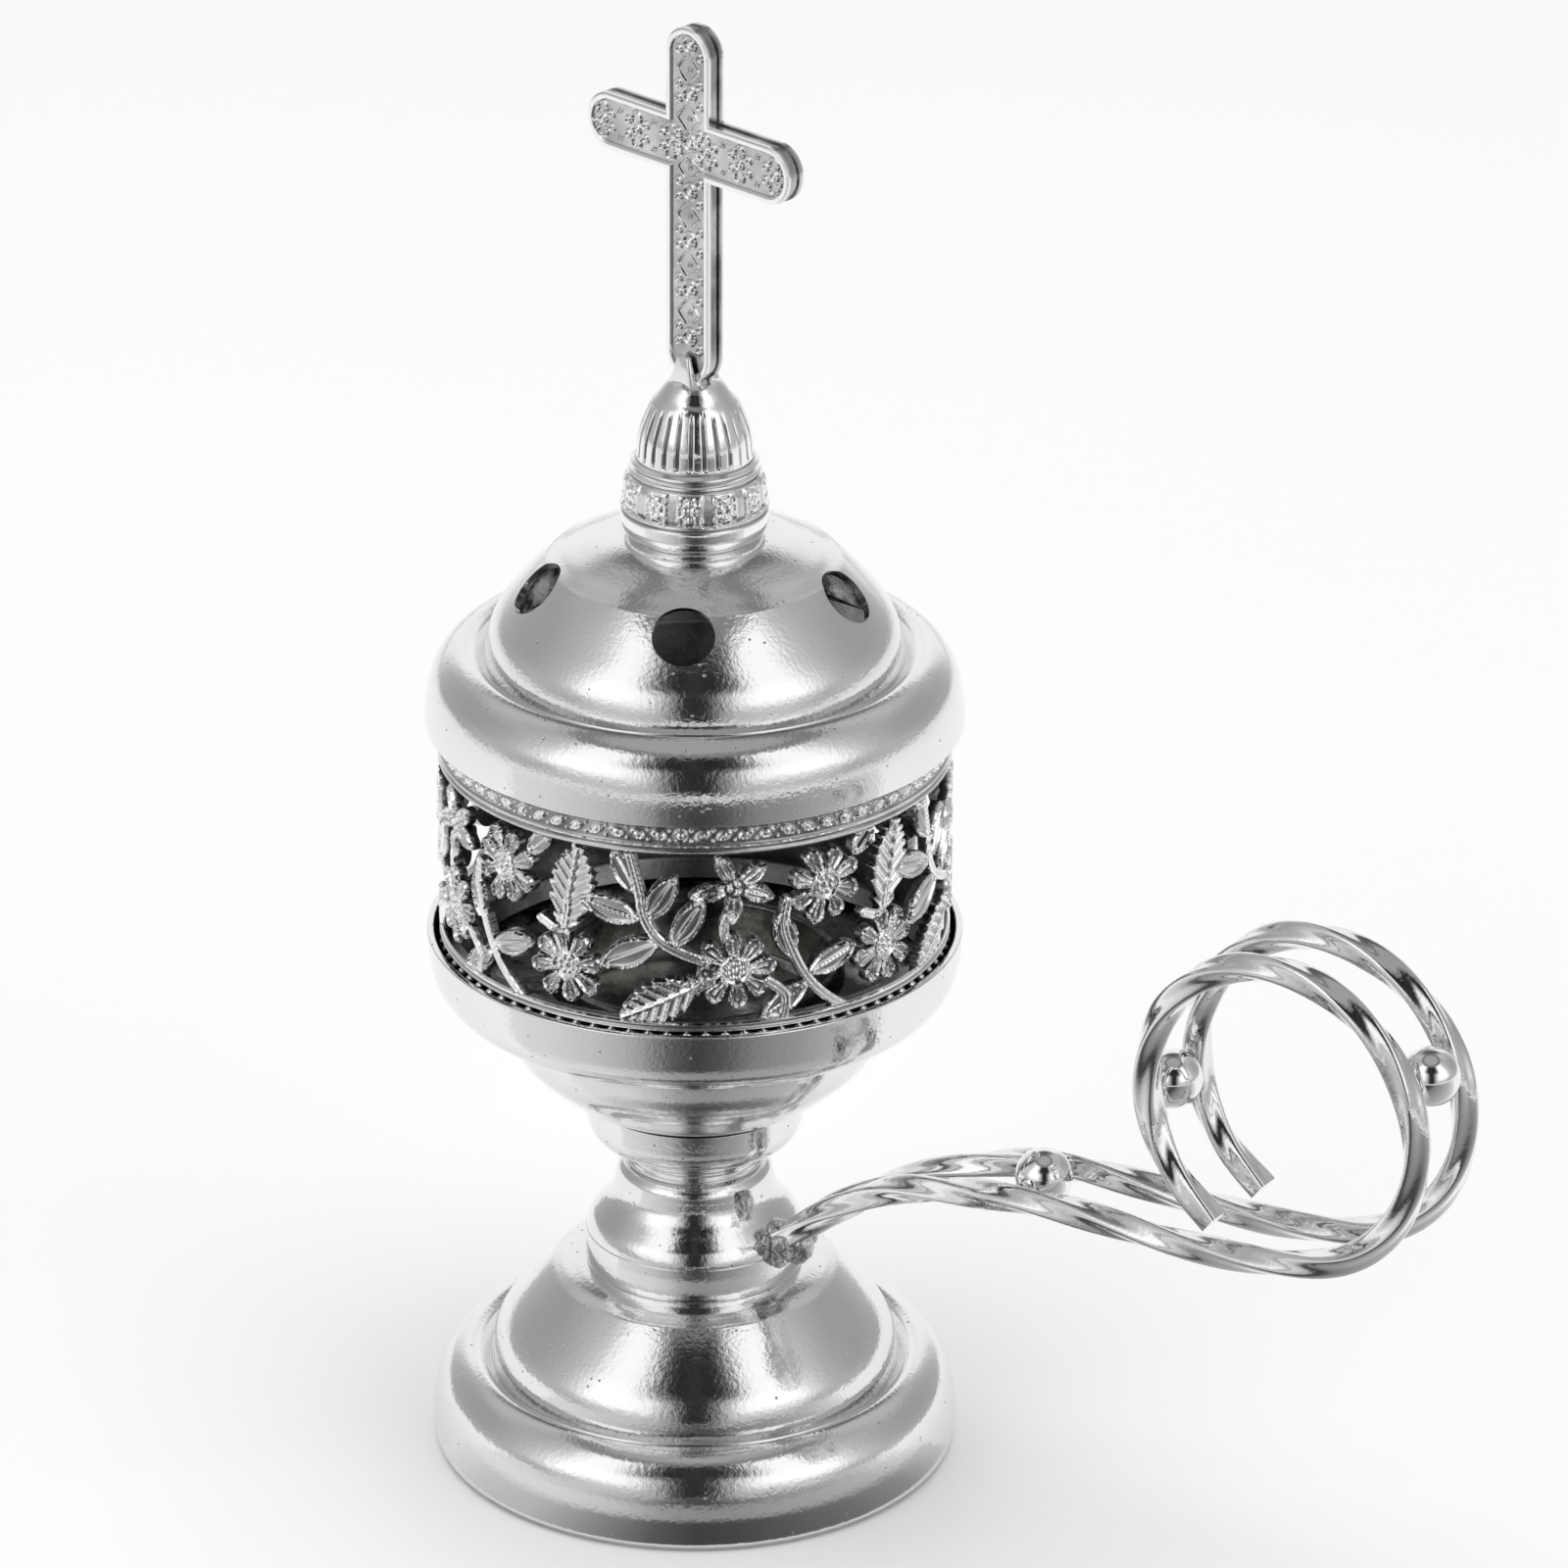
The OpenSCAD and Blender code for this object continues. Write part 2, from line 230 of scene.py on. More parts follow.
def lathe(name, outline, segments=240, closed=True, radius=None):
    """Turns an outline of (radius, height) about the upright axis.

    An open outline starts and ends on the axis. radius(angle, r, z), in degrees and millimetres, can change
    each point's radius.
    """
    angle = np.arange(segments) * 2 * np.pi / segments
    r, z = outline[:, :1], np.repeat(outline[:, 1:], segments, 1)
    r = np.repeat(r, segments, 1)
    if radius:
        r = radius(np.degrees(angle)[None, :] + 0 * r, r, z)
    co = np.stack([r * np.cos(angle), r * np.sin(angle), z], -1).reshape(-1, 3) * MM
    quads = ring_quads(len(outline), segments, closed)
    polygons = [quads]
    if not closed:
        j = np.arange(segments)
        last = (len(outline) - 1) * segments
        ends = np.array([[0, 0, outline[0, 1]], [0, 0, outline[-1, 1]]]) * MM
        n = len(co)
        co = np.vstack([co, ends])
        polygons.append(np.stack([(j + 1) % segments, j, np.full(segments, n)], -1))
        polygons.append(np.stack([last + j, last + (j + 1) % segments, np.full(segments, n + 1)], -1))
    return make_mesh(name, co, polygons)


# Each case of a cell's solid corners, as polygons over corners 0 to 3 and edges 4 to 7, both counterclockwise.
CELL_CASES = {
    1: [(0, 4, 7)], 2: [(1, 5, 4)], 3: [(0, 1, 5, 7)], 4: [(2, 6, 5)], 5: [(0, 4, 7), (2, 6, 5)],
    6: [(1, 2, 6, 4)], 7: [(0, 1, 2, 6, 7)], 8: [(3, 7, 6)], 9: [(0, 4, 6, 3)], 10: [(1, 5, 4), (3, 7, 6)],
    11: [(0, 1, 5, 6, 3)], 12: [(2, 3, 7, 5)], 13: [(0, 4, 5, 2, 3)], 14: [(1, 2, 3, 7, 4)], 15: [(0, 1, 2, 3)],
}


def cut_sheet(name, xs, zs, inside, relief, place, round_x):
    """A solid sheet cut out where the field inside is above 0, with relief on its front.

    inside and relief are arrays over (x, z). place(x, z, relief, front) gives each vertex's place in
    millimetres, on the front or the back. round_x closes the sheet on itself along x.
    """
    nx, nz = inside.shape
    solid = inside > 0
    along = np.roll(np.arange(nx), -1)
    cells_x = np.arange(nx if round_x else nx - 1)
    gx, gz = np.meshgrid(cells_x, np.arange(nz - 1), indexing="ij")
    gx, gz = gx.ravel(), gz.ravel()
    x1 = along[gx]
    case = solid[gx, gz] + 2 * solid[x1, gz] + 4 * solid[x1, gz + 1] + 8 * solid[gx, gz + 1]

    step = xs[1] - xs[0]
    node = np.full((nx, nz), -1)
    node[solid] = np.arange(solid.sum())
    points = [np.stack([*(m[solid] for m in np.meshgrid(xs, zs, indexing="ij")), relief[solid]], -1)]
    total = len(points[0])

    def crossings(other_x, other_z, shift_x, edges):
        """Numbers the edges that the outline crosses, and adds a point on each."""
        nonlocal total
        ids = np.full((nx, nz), -1)
        ex, ez = np.nonzero(edges)
        ids[ex, ez] = total + np.arange(len(ex))
        ox, oz = other_x[ex, ez], other_z[ex, ez]
        f0, f1 = inside[ex, ez], inside[ox, oz]
        t = np.clip(f0 / (f0 - f1), 0.12, 0.88)
        x = xs[ex] + t * shift_x
        z = zs[ez] + t * (zs[oz] - zs[ez])
        e = np.where(f0 > f1, relief[ex, ez], relief[ox, oz])
        points.append(np.stack([x, z, e], -1))
        total += len(ex)
        return ids

    ii, jj = np.meshgrid(np.arange(nx), np.arange(nz), indexing="ij")
    right = solid != solid[along]
    if not round_x:
        right[-1] = False
    upper = np.zeros_like(solid)
    upper[:, :-1] = solid[:, :-1] != solid[:, 1:]
    across = crossings(along[ii], jj, step, right)
    upright = crossings(ii, np.minimum(jj + 1, nz - 1), 0.0, upper)

    corners = np.stack(
        [
            node[gx, gz], node[x1, gz], node[x1, gz + 1], node[gx, gz + 1],
            across[gx, gz], upright[x1, gz], across[gx, gz + 1], upright[gx, gz],
        ],
        -1,
    )
    faces, rim = [], []
    for number, shapes in CELL_CASES.items():
        here = corners[case == number]
        if not len(here):
            continue
        for shape in shapes:
            faces.append(here[:, shape])
            for a, b in zip(shape, shape[1:] + shape[:1], strict=True):
                if a > 3 and b > 3:
                    rim.append(here[:, (a, b)])
    if not round_x:
        for i, turn in ((0, 1), (nx - 1, -1)):
            j = np.nonzero(solid[i, :-1] & solid[i, 1:])[0]
            rim.append(np.stack([node[i, j + 1], node[i, j]], -1)[:, ::turn])
    for k, turn in ((0, 1), (nz - 1, -1)):
        i = np.nonzero(solid[:, k] & solid[along, k])[0]
        i = i if round_x else i[i < nx - 1]
        rim.append(np.stack([node[i, k], node[along[i], k]], -1)[:, ::turn])
    rim = np.concatenate(rim)
    p = np.concatenate(points)
    front = place(p[:, 0], p[:, 1], p[:, 2], True)
    back = place(p[:, 0], p[:, 1], p[:, 2], False)
    verts = np.vstack([front, back]) * MM
    n = len(p)
    walls = np.stack([rim[:, 1], rim[:, 0], rim[:, 0] + n, rim[:, 1] + n], -1)
    mesh = make_mesh(name, verts, faces + [f[:, ::-1] + n for f in faces] + [walls])
    # The back gets relief 0, so the cast material paints it with its fullest shade.
    give_values(mesh, "relief", np.concatenate([p[:, 2], np.zeros(n)]))
    return mesh


# Materials -------------------------------------------------------------------


class Nodes:
    """A short way to write the nodes of a new material, or of a world given as owner."""

    def __init__(self, name, owner=None):
        self.owner = owner or bpy.data.materials.new(name)
        self.owner.use_nodes = True
        self.tree = self.owner.node_tree
        self.shader = self.tree.nodes.get("Principled BSDF")
        self.place = self.add("ShaderNodeTexCoord").outputs["Object"]

    def add(self, kind, **settings):
        node = self.tree.nodes.new(kind)
        for key, value in settings.items():
            setattr(node, key, value)
        return node

    def link(self, a, b):
        self.tree.links.new(a, b)

    def noise(self, scale, detail=2.0, rough=0.5, stretch=None):
        """Noise with features of about 1/scale metres."""
        node = self.add("ShaderNodeTexNoise")
        node.inputs["Scale"].default_value = scale
        node.inputs["Detail"].default_value = detail
        node.inputs["Roughness"].default_value = rough
        source = self.place
        if stretch:
            mapping = self.add("ShaderNodeMapping")
            mapping.inputs["Scale"].default_value = stretch
            self.link(source, mapping.inputs["Vector"])
            source = mapping.outputs["Vector"]
        self.link(source, node.inputs["Vector"])
        return node.outputs["Fac"]

    def ramp(self, value, lows, highs, low_out=0.0, high_out=1.0, kind="LINEAR"):
        """Maps value from lows..highs to low_out..high_out, and holds it there."""
        node = self.add("ShaderNodeMapRange", interpolation_type=kind)
        node.inputs["From Min"].default_value = lows
        node.inputs["From Max"].default_value = highs
        node.inputs["To Min"].default_value = low_out
        node.inputs["To Max"].default_value = high_out
        self.link(value, node.inputs["Value"])
        return node.outputs["Result"]

    def math(self, operation, a, b=0.0):
        node = self.add("ShaderNodeMath", operation=operation)
        for socket, value in zip(node.inputs, (a, b), strict=False):
            if isinstance(value, (int, float)):
                socket.default_value = value
            else:
                self.link(value, socket)
        return node.outputs[0]

    def mix(self, factor, a, b):
        node = self.add("ShaderNodeMix", data_type="RGBA")
        self.link(factor, node.inputs["Factor"])
        for socket, colour in ((node.inputs["A"], a), (node.inputs["B"], b)):
            if isinstance(colour, tuple):
                socket.default_value = (*colour, 1.0)
            else:
                self.link(colour, socket)
        return node.outputs["Result"]

    def bump(self, height, distance, strength=1.0, under=None):
        node = self.add("ShaderNodeBump")
        node.inputs["Strength"].default_value = strength
        node.inputs["Distance"].default_value = distance
        self.link(height, node.inputs["Height"])
        if under:
            self.link(under, node.inputs["Normal"])
        return node.outputs["Normal"]

    def finish(self, colour, roughness, normal=None, metallic=1.0):
        self.link(colour, self.shader.inputs["Base Color"])
        self.link(roughness, self.shader.inputs["Roughness"])
        if normal:
            self.link(normal, self.shader.inputs["Normal"])
        self.shader.inputs["Metallic"].default_value = metallic
        return self.owner


def specks(m, scale, share):
    """Small scattered pits: 1 in a pit and 0 elsewhere."""
    cells = m.add("ShaderNodeTexVoronoi")
    cells.inputs["Scale"].default_value = scale
    cells.inputs["Randomness"].default_value = 1.0
    m.link(m.place, cells.inputs["Vector"])
    near = m.ramp(cells.outputs["Distance"], 0.08, 0.18, 1.0, 0.0)
    chosen = m.add("ShaderNodeSeparateColor")
    m.link(cells.outputs["Color"], chosen.inputs[0])
    some = m.ramp(chosen.outputs[0], share, share - 0.02, 0.0, 1.0)
    return m.math("MULTIPLY", near, some)


def painted_shade_side(m, upward):
    """Where painted shade goes: 1 on the hollow side of a turned shell whose outer side faces up (1) or down
    (-1), and 0 outside.
    """
    facing = m.add("ShaderNodeSeparateXYZ")
    m.link(m.add("ShaderNodeNewGeometry").outputs["Normal"], facing.inputs[0])
    place = m.add("ShaderNodeSeparateXYZ")
    m.link(m.place, place.inputs[0])

    def level_product(a, b):
        return m.math("ADD", *(m.math("MULTIPLY", a.outputs[k], b.outputs[k]) for k in "XY"))

    across = level_product(facing, place)
    reach = m.math("POWER", level_product(place, place), 0.5)
    outward = m.math("MULTIPLY", m.math("DIVIDE", across, m.math("MAXIMUM", reach, 0.0005)), 0.6)
    outward = m.math("ADD", outward, m.math("MULTIPLY", facing.outputs["Z"], upward))
    hollow = m.ramp(outward, -0.25, -0.05, 1.0, 0.0)
    return m.math("MULTIPLY", hollow, m.ramp(reach, 0.0318, 0.0323, 1.0, 0.0))


def spun_silver(name, upward=0.0):
    """Plated sheet: bright, with a fine pebble, faint waves, a few pits and light wiping marks.

    Its hollow side, if it has one, is darkened and mottled as painted shade.
    """
    m = Nodes(name)
    waves = m.noise(90, 1.0)
    pebble = m.noise(1700, 2.0, 0.55)
    cloud = m.noise(45, 3.0)
    wipes = m.noise(160, 4.0, 0.6, (1.0, 1.0, 9.0))
    pits = specks(m, 900, 0.14)
    colour = m.mix(cloud, (0.80, 0.80, 0.795), (0.90, 0.90, 0.90))
    colour = m.mix(pits, colour, (0.38, 0.37, 0.36))
    smear = m.math("ADD", m.ramp(wipes, 0.45, 0.7, 0.0, 0.05), m.ramp(cloud, 0.3, 0.7, 0.065, 0.12))
    rough = m.math("ADD", smear, m.math("MULTIPLY", pits, 0.3))
    if upward:
        # Painted shade: the hollow side gets a dark, mottled colour and a rougher finish.
        painted_shade = painted_shade_side(m, upward)
        mottle = m.noise(240, 4.0, 0.65)
        painted_shade_colour = m.mix(m.ramp(mottle, 0.42, 0.60), (0.06, 0.058, 0.055), (0.80, 0.79, 0.78))
        colour = m.mix(painted_shade, colour, painted_shade_colour)
        rough = m.math("ADD", rough, m.math("MULTIPLY", painted_shade, m.ramp(mottle, 0.4, 0.7, 0.30, 0.08)))
    normal = m.bump(waves, 0.00016)
    normal = m.bump(pebble, 0.000028, 1.0, normal)
    normal = m.bump(m.math("MULTIPLY", pits, -1.0), 0.00004, 1.0, normal)
    return m.finish(colour, rough, normal)


def cast_silver():
    """Bright plated casting, with painted shade where the relief is deep."""
    m = Nodes("cast_silver")
    attribute = m.add("ShaderNodeAttribute", attribute_name="relief")
    height = attribute.outputs["Fac"]
    grain = m.noise(1300, 3.0, 0.6)
    cloud = m.noise(160, 3.0)
    # Painted shade: where the relief is deep the colour darkens towards grey-black, broken up by cloud.
    deep = m.ramp(height, 0.14, 0.38, 1.0, 0.0)
    painted_recess_shade = m.math("MULTIPLY", deep, m.ramp(cloud, 0.3, 0.65, 0.45, 1.0))
    colour = m.mix(painted_recess_shade, (0.92, 0.92, 0.915), (0.20, 0.195, 0.19))
    rough = m.math("ADD", m.ramp(grain, 0.3, 0.7, 0.05, 0.12), m.math("MULTIPLY", deep, 0.16))
    normal = m.bump(grain, 0.00003)
    return m.finish(colour, rough, normal)


def cast_silver_plain():
    """The same casting where it has no fine relief."""
    m = Nodes("cast_silver_plain")
    grain = m.noise(1100, 3.0, 0.6)
    lumps = m.noise(260, 1.0)
    cloud = m.noise(160, 3.0)
    colour = m.mix(cloud, (0.80, 0.80, 0.795), (0.91, 0.91, 0.905))
    rough = m.ramp(grain, 0.3, 0.7, 0.05, 0.13)
    normal = m.bump(grain, 0.00003, 1.0, m.bump(lumps, 0.00012))
    return m.finish(colour, rough, normal)


def wire_silver():
    """Plated wire with soft dents from twisting and bending."""
    m = Nodes("wire_silver")
    dents = m.noise(170, 2.0, 0.5)
    grain = m.noise(1800, 2.0)
    cloud = m.noise(120, 3.0)
    colour = m.mix(cloud, (0.76, 0.76, 0.755), (0.92, 0.92, 0.915))
    rough = m.ramp(grain, 0.3, 0.7, 0.04, 0.11)
    normal = m.bump(grain, 0.00002, 1.0, m.bump(dents, 0.00009))
    return m.finish(colour, rough, normal)


def ball_silver():
    """A mirror-bright ball with a few fine scuffs."""
    m = Nodes("ball_silver")
    scuffs = m.noise(900, 5.0, 0.7)
    cloud = m.noise(300, 2.0)
    colour = m.mix(cloud, (0.86, 0.86, 0.86), (0.94, 0.94, 0.94))
    rough = m.ramp(scuffs, 0.5, 0.75, 0.02, 0.12)
    return m.finish(colour, rough, m.bump(cloud, 0.00004))


def solder_metal():
    """Lumpy plated solder."""
    m = Nodes("solder")
    lumps = m.noise(900, 4.0, 0.6)
    cloud = m.noise(350, 3.0)
    colour = m.mix(m.ramp(cloud, 0.35, 0.7), (0.30, 0.29, 0.28), (0.82, 0.82, 0.81))
    rough = m.ramp(lumps, 0.3, 0.7, 0.10, 0.30)
    return m.finish(colour, rough, m.bump(lumps, 0.00035))


def pan_steel():
    """Plated sheet that has gone dull with heat, with soot in its well."""
    m = Nodes("pan_steel")
    cloud = m.noise(130, 5.0, 0.65)
    grain = m.noise(1600, 3.0)
    soot = m.ramp(cloud, 0.40, 0.62)
    colour = m.mix(soot, (0.60, 0.59, 0.57), (0.09, 0.085, 0.08))
    rough = m.ramp(cloud, 0.35, 0.65, 0.16, 0.45)
    return m.finish(colour, rough, m.bump(grain, 0.00004))


def hardware_steel():
    """Zinc-plated screws, nuts and washers."""
    m = Nodes("hardware_steel")
    cloud = m.noise(400, 4.0, 0.6)
    grain = m.noise(2500, 2.0, 0.5, (1.0, 1.0, 6.0))
    colour = m.mix(cloud, (0.52, 0.53, 0.55), (0.70, 0.70, 0.70))
    rough = m.ramp(cloud, 0.3, 0.7, 0.22, 0.42)
    return m.finish(colour, rough, m.bump(grain, 0.00002))


SPUN = spun_silver("spun_silver")
SPUN_LID = spun_silver("spun_silver_cover", 1.0)
SPUN_BOWL = spun_silver("spun_silver_bowl", -1.0)
CAST = cast_silver()
CAST_PLAIN = cast_silver_plain()
TWISTED = wire_silver()
BALL = ball_silver()
SOLDER = solder_metal()
PAN = pan_steel()
HARDWARE = hardware_steel()


# Turned parts -----------------------------------------------------------------

EDGE = 0.22
LONGEST = 0.6


def in_from_rim(points):
    """An outline from pairs of distance in from the rim and height."""
    return [(RIM_R - inset, z) for inset, z in points]


SKIRT = in_from_rim(
    [(0, PRESS_LOW), (0.05, 4.6), (0.5, 7.3), (1.3, 9.4), (2.8, 11.2), (4.6, 12.2), (6, 12), (7, 11.1)]
)
DOME = in_from_rim(
    [(7.2, 10.7), (7.6, 13.2), (8.3, 15.4), (9.5, 17.4), (11.3, 19.6), (13.3, 21.8), (15, 23.5)]
)
CROWN = in_from_rim([(16.6, 24.3), (18, 24.6)])
TIE_HOLE = 2.6
SCREW_HOLE = 2.1


def pressing():
    """The outer line that foot and lid share."""
    return np.vstack([curve(SKIRT, 8), curve(DOME, 8), CROWN])


def turned(name, outline, longest=LONGEST, edge=EDGE):
    """A closed outline, its corners eased, turned on the lathe."""
    return lathe(name, finer(eased_corners(np.array(outline, float), edge), longest))


def add_spun(name, mesh, body="stand", material=SPUN):
    return add_piece(name + "_shell", mesh, body, material, (name,), sharp=None)


def build_foot():
    edge = [(RIM_R - 0.9, 0), (RIM_R - 0.2, 0.9)]
    top = [(DRUM_R, FOOT_TOP), (TIE_HOLE, FOOT_TOP)]
    line = np.vstack([edge, pressing(), top])
    inner = beside(line, SHEET)[::-1]
    add_spun("foot", turned("foot_shell", np.vstack([line, inner, [(RIM_R - 0.9 - SHEET, 0)]])))


def build_stem():
    drum = [
        (TIE_HOLE, FOOT_TOP), (DRUM_R - 0.1, FOOT_TOP), (DRUM_R, FOOT_TOP + 0.6),
        (DRUM_R + 0.05, FOOT_TOP + 3), (DRUM_R - 0.05, DRUM_TOP), (TIE_HOLE, DRUM_TOP),
    ]
    knop = [
        (DRUM_R - 0.15, DRUM_TOP), (13.35, 30), (12.85, 31.1), (12.05, 32.1), (10.95, 33.4),
        (10.2, 34.8), (9.85, 36.3), (9.6, 37.4), (9, KNOP_TOP),
    ]
    neck_r = high("neck_ring")[1] - 1.3
    ring = [
        (neck_r, KNOP_TOP), (neck_r + 0.5, KNOP_TOP + 0.5), (neck_r, KNOP_TOP + 1),
        (neck_r + 0.2, KNOP_TOP + 1.6), (neck_r + 0.9, KNOP_TOP + 2.3), (neck_r + 1.3, NECK_TOP),
    ]
    cup = [
        (9.6, NECK_TOP), (11.4, NECK_TOP + 0.7), (12.7, NECK_TOP + 1.7), (13.35, NECK_TOP + 3.1),
        (13.5, NECK_TOP + 4.6), (13.6, CUP_TOP),
    ]
    add_spun("stem_drum", turned("stem_drum_shell", drum, edge=0.15))
    for name, side, bottom, top in (
        ("stem_knop", knop, DRUM_TOP, KNOP_TOP),
        ("neck_ring", ring, KNOP_TOP, NECK_TOP),
        ("stem_cup", cup, NECK_TOP, CUP_TOP),
    ):
        outline = np.vstack([[(TIE_HOLE, bottom)], curve(side, 8), [(TIE_HOLE, top)]])
        add_spun(name, turned(name + "_shell", outline, edge=0.15))


def build_bowl():
    well = [
        (13.6, 47.8), (16.6, 49.4), (19.5, 51.8), (21.3, 53.5), (22.6, 55.2), (23.7, 57.6), (24.3, 60),
    ]
    pan = [
        (25.2, 61.3), (27.2, 61.8), (29.2, 62), (30.8, 62.8), (32, 64.3), (32.6, 65.9), (32.9, 67.7),
    ]
    line = np.vstack([[(TIE_HOLE, CUP_TOP), (12.4, CUP_TOP)], curve(well, 8), curve(pan, 8), [(33.1, LIP_TOP)]])
    add_spun("bowl", turned("bowl_shell", sheet_outline(line)), material=SPUN_BOWL)


def build_pan():
    flange_z = low("charcoal_pan")[2] + 4.9
    top = high("charcoal_pan")[2]
    floor = low("charcoal_pan")[2]
    well_r = 17
    flange_r = high("charcoal_pan")[1]
    outline = np.array(
        [
            (0.02, floor), (well_r - 0.6, floor), (well_r + 0.3, floor + 0.6), (well_r + 0.9, floor + 1.8),
            (well_r + 0.9, flange_z), (flange_r, flange_z), (flange_r, flange_z + SHEET),
            (well_r + 1.5, flange_z + SHEET), (well_r + 1, top - 0.3), (well_r + 0.5, top),
            (well_r, top - 0.4), (well_r, floor + 1.8), (well_r - 0.9, floor + SHEET), (0.02, floor + SHEET),
        ]
    )
    eased = eased_corners(outline, 0.3)
    keep = eased[eased[:, 0] > 0.6]
    line = np.vstack([outline[:1], keep, outline[-1:]])
    mesh = lathe("charcoal_dish", finer(line, 0.8, closed=False), closed=False)
    add_piece("charcoal_dish", mesh, "pan", PAN, ("charcoal_pan",), sharp=None)


LID_CROWN = in_from_rim(
    [(16.6, 24.3), (17.6, 24.85), (19, 25.5), (21, 26.35), (23, 26.95), (24.7, 27.2)]
)
VENTS = 5
VENT_TURN = -58.0
VENT_R = RIM_R - 13.1
VENT_D = 7.6
VENT_Z = 21.8
VENT_CUTTER = 12.0


def build_lid():
    """The pressing again, with its vents cut. Its faces keep the turned shape's own normals."""
    outside = np.vstack([curve(SKIRT, 8), curve(DOME, 8)])
    line = np.vstack([outside, curve(LID_CROWN, 6), [(SCREW_HOLE, 27.2)]])
    line[:, 1] += LID_LIFT
    outline = finer(eased_corners(sheet_outline(line), EDGE), LONGEST)
    lid = add_spun("lid", lathe("lid_shell", outline), "cover", SPUN_LID)
    cutters = []
    for i in range(VENTS):
        bpy.ops.mesh.primitive_cylinder_add(vertices=64, radius=VENT_D / 2 * MM, depth=VENT_CUTTER * MM)
        cutter = bpy.context.object
        turn = Matrix.Rotation(math.radians(VENT_TURN + i * 360 / VENTS), 4, "Z")
        place = Matrix.Translation(Vector((VENT_R, 0, LID_LIFT + VENT_Z)) * MM)
        cutter.matrix_world = turn @ place @ Matrix.Rotation(math.radians(45), 4, "Y")
        cutters.append(cutter)
    bpy.context.view_layer.update()
    for cutter in cutters:
        cut = lid.modifiers.new("vent", "BOOLEAN")
        cut.operation = "DIFFERENCE"
        cut.object = cutter
        cut.solver = "EXACT"
    bake_modifiers(lid)
    for cutter in cutters:
        bpy.data.objects.remove(cutter)
    keep_turned_normals(lid.data, outline)


def bake_modifiers(piece):
    """Applies every modifier of the piece to its mesh."""
    graph = bpy.context.evaluated_depsgraph_get()
    mesh = bpy.data.meshes.new_from_object(piece.evaluated_get(graph))
    piece.modifiers.clear()
    old = piece.data
    piece.data = mesh
    bpy.data.meshes.remove(old)


def keep_turned_normals(mesh, outline):
    """Gives each corner on the turned surface that surface's own normal, and leaves cut walls flat."""
    centres = (outline + np.roll(outline, -1, 0)) / 2
    d = np.roll(outline, -1, 0) - outline
    d /= np.linalg.norm(d, axis=1)[:, None]
    face_normals = np.stack([d[:, 1], -d[:, 0]], 1)
    point_normals = face_normals + np.roll(face_normals, 1, 0)
    point_normals /= np.linalg.norm(point_normals, axis=1)[:, None]
    spots = np.vstack([outline, centres])
    normals = np.vstack([point_normals, face_normals])
    co = vertices_mm(mesh)
    rz = np.stack([np.hypot(co[:, 0], co[:, 1]), co[:, 2]], 1)
    nearest = np.array([np.argmin(((spots - q) ** 2).sum(1)) for q in np.round(rz, 4)])
    flat = normals[nearest]
    angle = np.arctan2(co[:, 1], co[:, 0])
    turned_normal = np.stack([flat[:, 0] * np.cos(angle), flat[:, 0] * np.sin(angle), flat[:, 1]], 1)
    custom = np.zeros((len(mesh.loops), 3))
    for polygon in mesh.polygons:
        own = np.array(polygon.normal)
        for k in polygon.loop_indices:
            v = mesh.loops[k].vertex_index
            custom[k] = turned_normal[v] if turned_normal[v] @ own > 0.75 else own
    mesh.polygons.foreach_set("use_smooth", np.ones(len(mesh.polygons), bool))
    mesh.normals_split_custom_set(custom.tolist())


# Pierced band --------------------------------------------------------------------

BAND_R = 31.7
BAND_BACK = 30.1
BAND_FACE = 30.95
RELIEF = BAND_R - BAND_FACE
WINDOW = (71.9, 93.9)
BAND_TURN = FRONT + 8.9
MOTIF_ANGLE = 76.9
GRID = 0.17
# Half the width of the plain lap at the back, the frieze's upper edge, and where skirt and collar meet the face.
SEAM = 4.0
FRIEZE_TOP = 98.3
SKIRT_TOP = 68.5
COLLAR_LOW = 98.55

# The flowers' places along and up the band, in millimetres from the motif's own middle flower's foot point.
DAISIES = [((0, 78.6), 8, 95), ((11.7, 88.3), 8, 70), ((21.2, 77.7), 8, 100)]
STAR = ((0, 89.5), [(-5.8, -1.1), (5.05, -1.75), (-2.3, 4.3), (4.05, 2.85), (-0.4, -5.0)])
STEMS = [
    [(-13.2, 94.5), (-11.8, 89.1), (-11.2, 85.7), (-9.4, 82.8), (-6.6, 81.1), (-3.6, 80)],
    [(6.6, 87), (6.2, 83.8), (7.4, 80.1), (9.1, 76.8), (11.3, 74.1), (14.6, 71.4)],
    [(-0.8, 86), (-1.4, 84.2), (-1, 82.5)],
    [(17.6, 83), (20.6, 82.2), (21.5, 86)],
    [(-4.4, 76.6), (-3, 77.4)],
    [(4.2, 76.8), (6.4, 74.6), (6, 71.5)],
]
LEAVES = [
    ((-11.9, 88.4), (-15.1, 94.2), 3.2), ((-11, 85), (-7.1, 91.3), 3.4), ((-11.4, 85.1), (-19.6, 87.2), 3.5),
    ((-7.9, 81.5), (-3.7, 88.2), 3.4), ((-8.9, 82.6), (-17.0, 78.6), 3.8), ((7.3, 79.2), (5.6, 85.6), 3.2),
    ((9.2, 77.0), (16.5, 79.4), 3.4), ((9.6, 76.0), (3.2, 71.9), 3.2), ((15.6, 91.2), (19.0, 94.4), 2.8),
]
SERRATED = [((-3.9, 77.2), (-14.3, 71.9), 5.0), ((20.9, 82.2), (23.1, 94.0), 5.6)]


def ridge(distance, place, width, height):
    """A rounded ridge along the line where distance equals place."""
    return height * np.exp(-(((distance - place) / width) ** 2))


def bead_height(distance, radius):
    """A round bead's height, from 1 at its middle to 0 at its edge."""
    return np.sqrt(np.clip(1 - (distance / radius) ** 2, 0, 1))


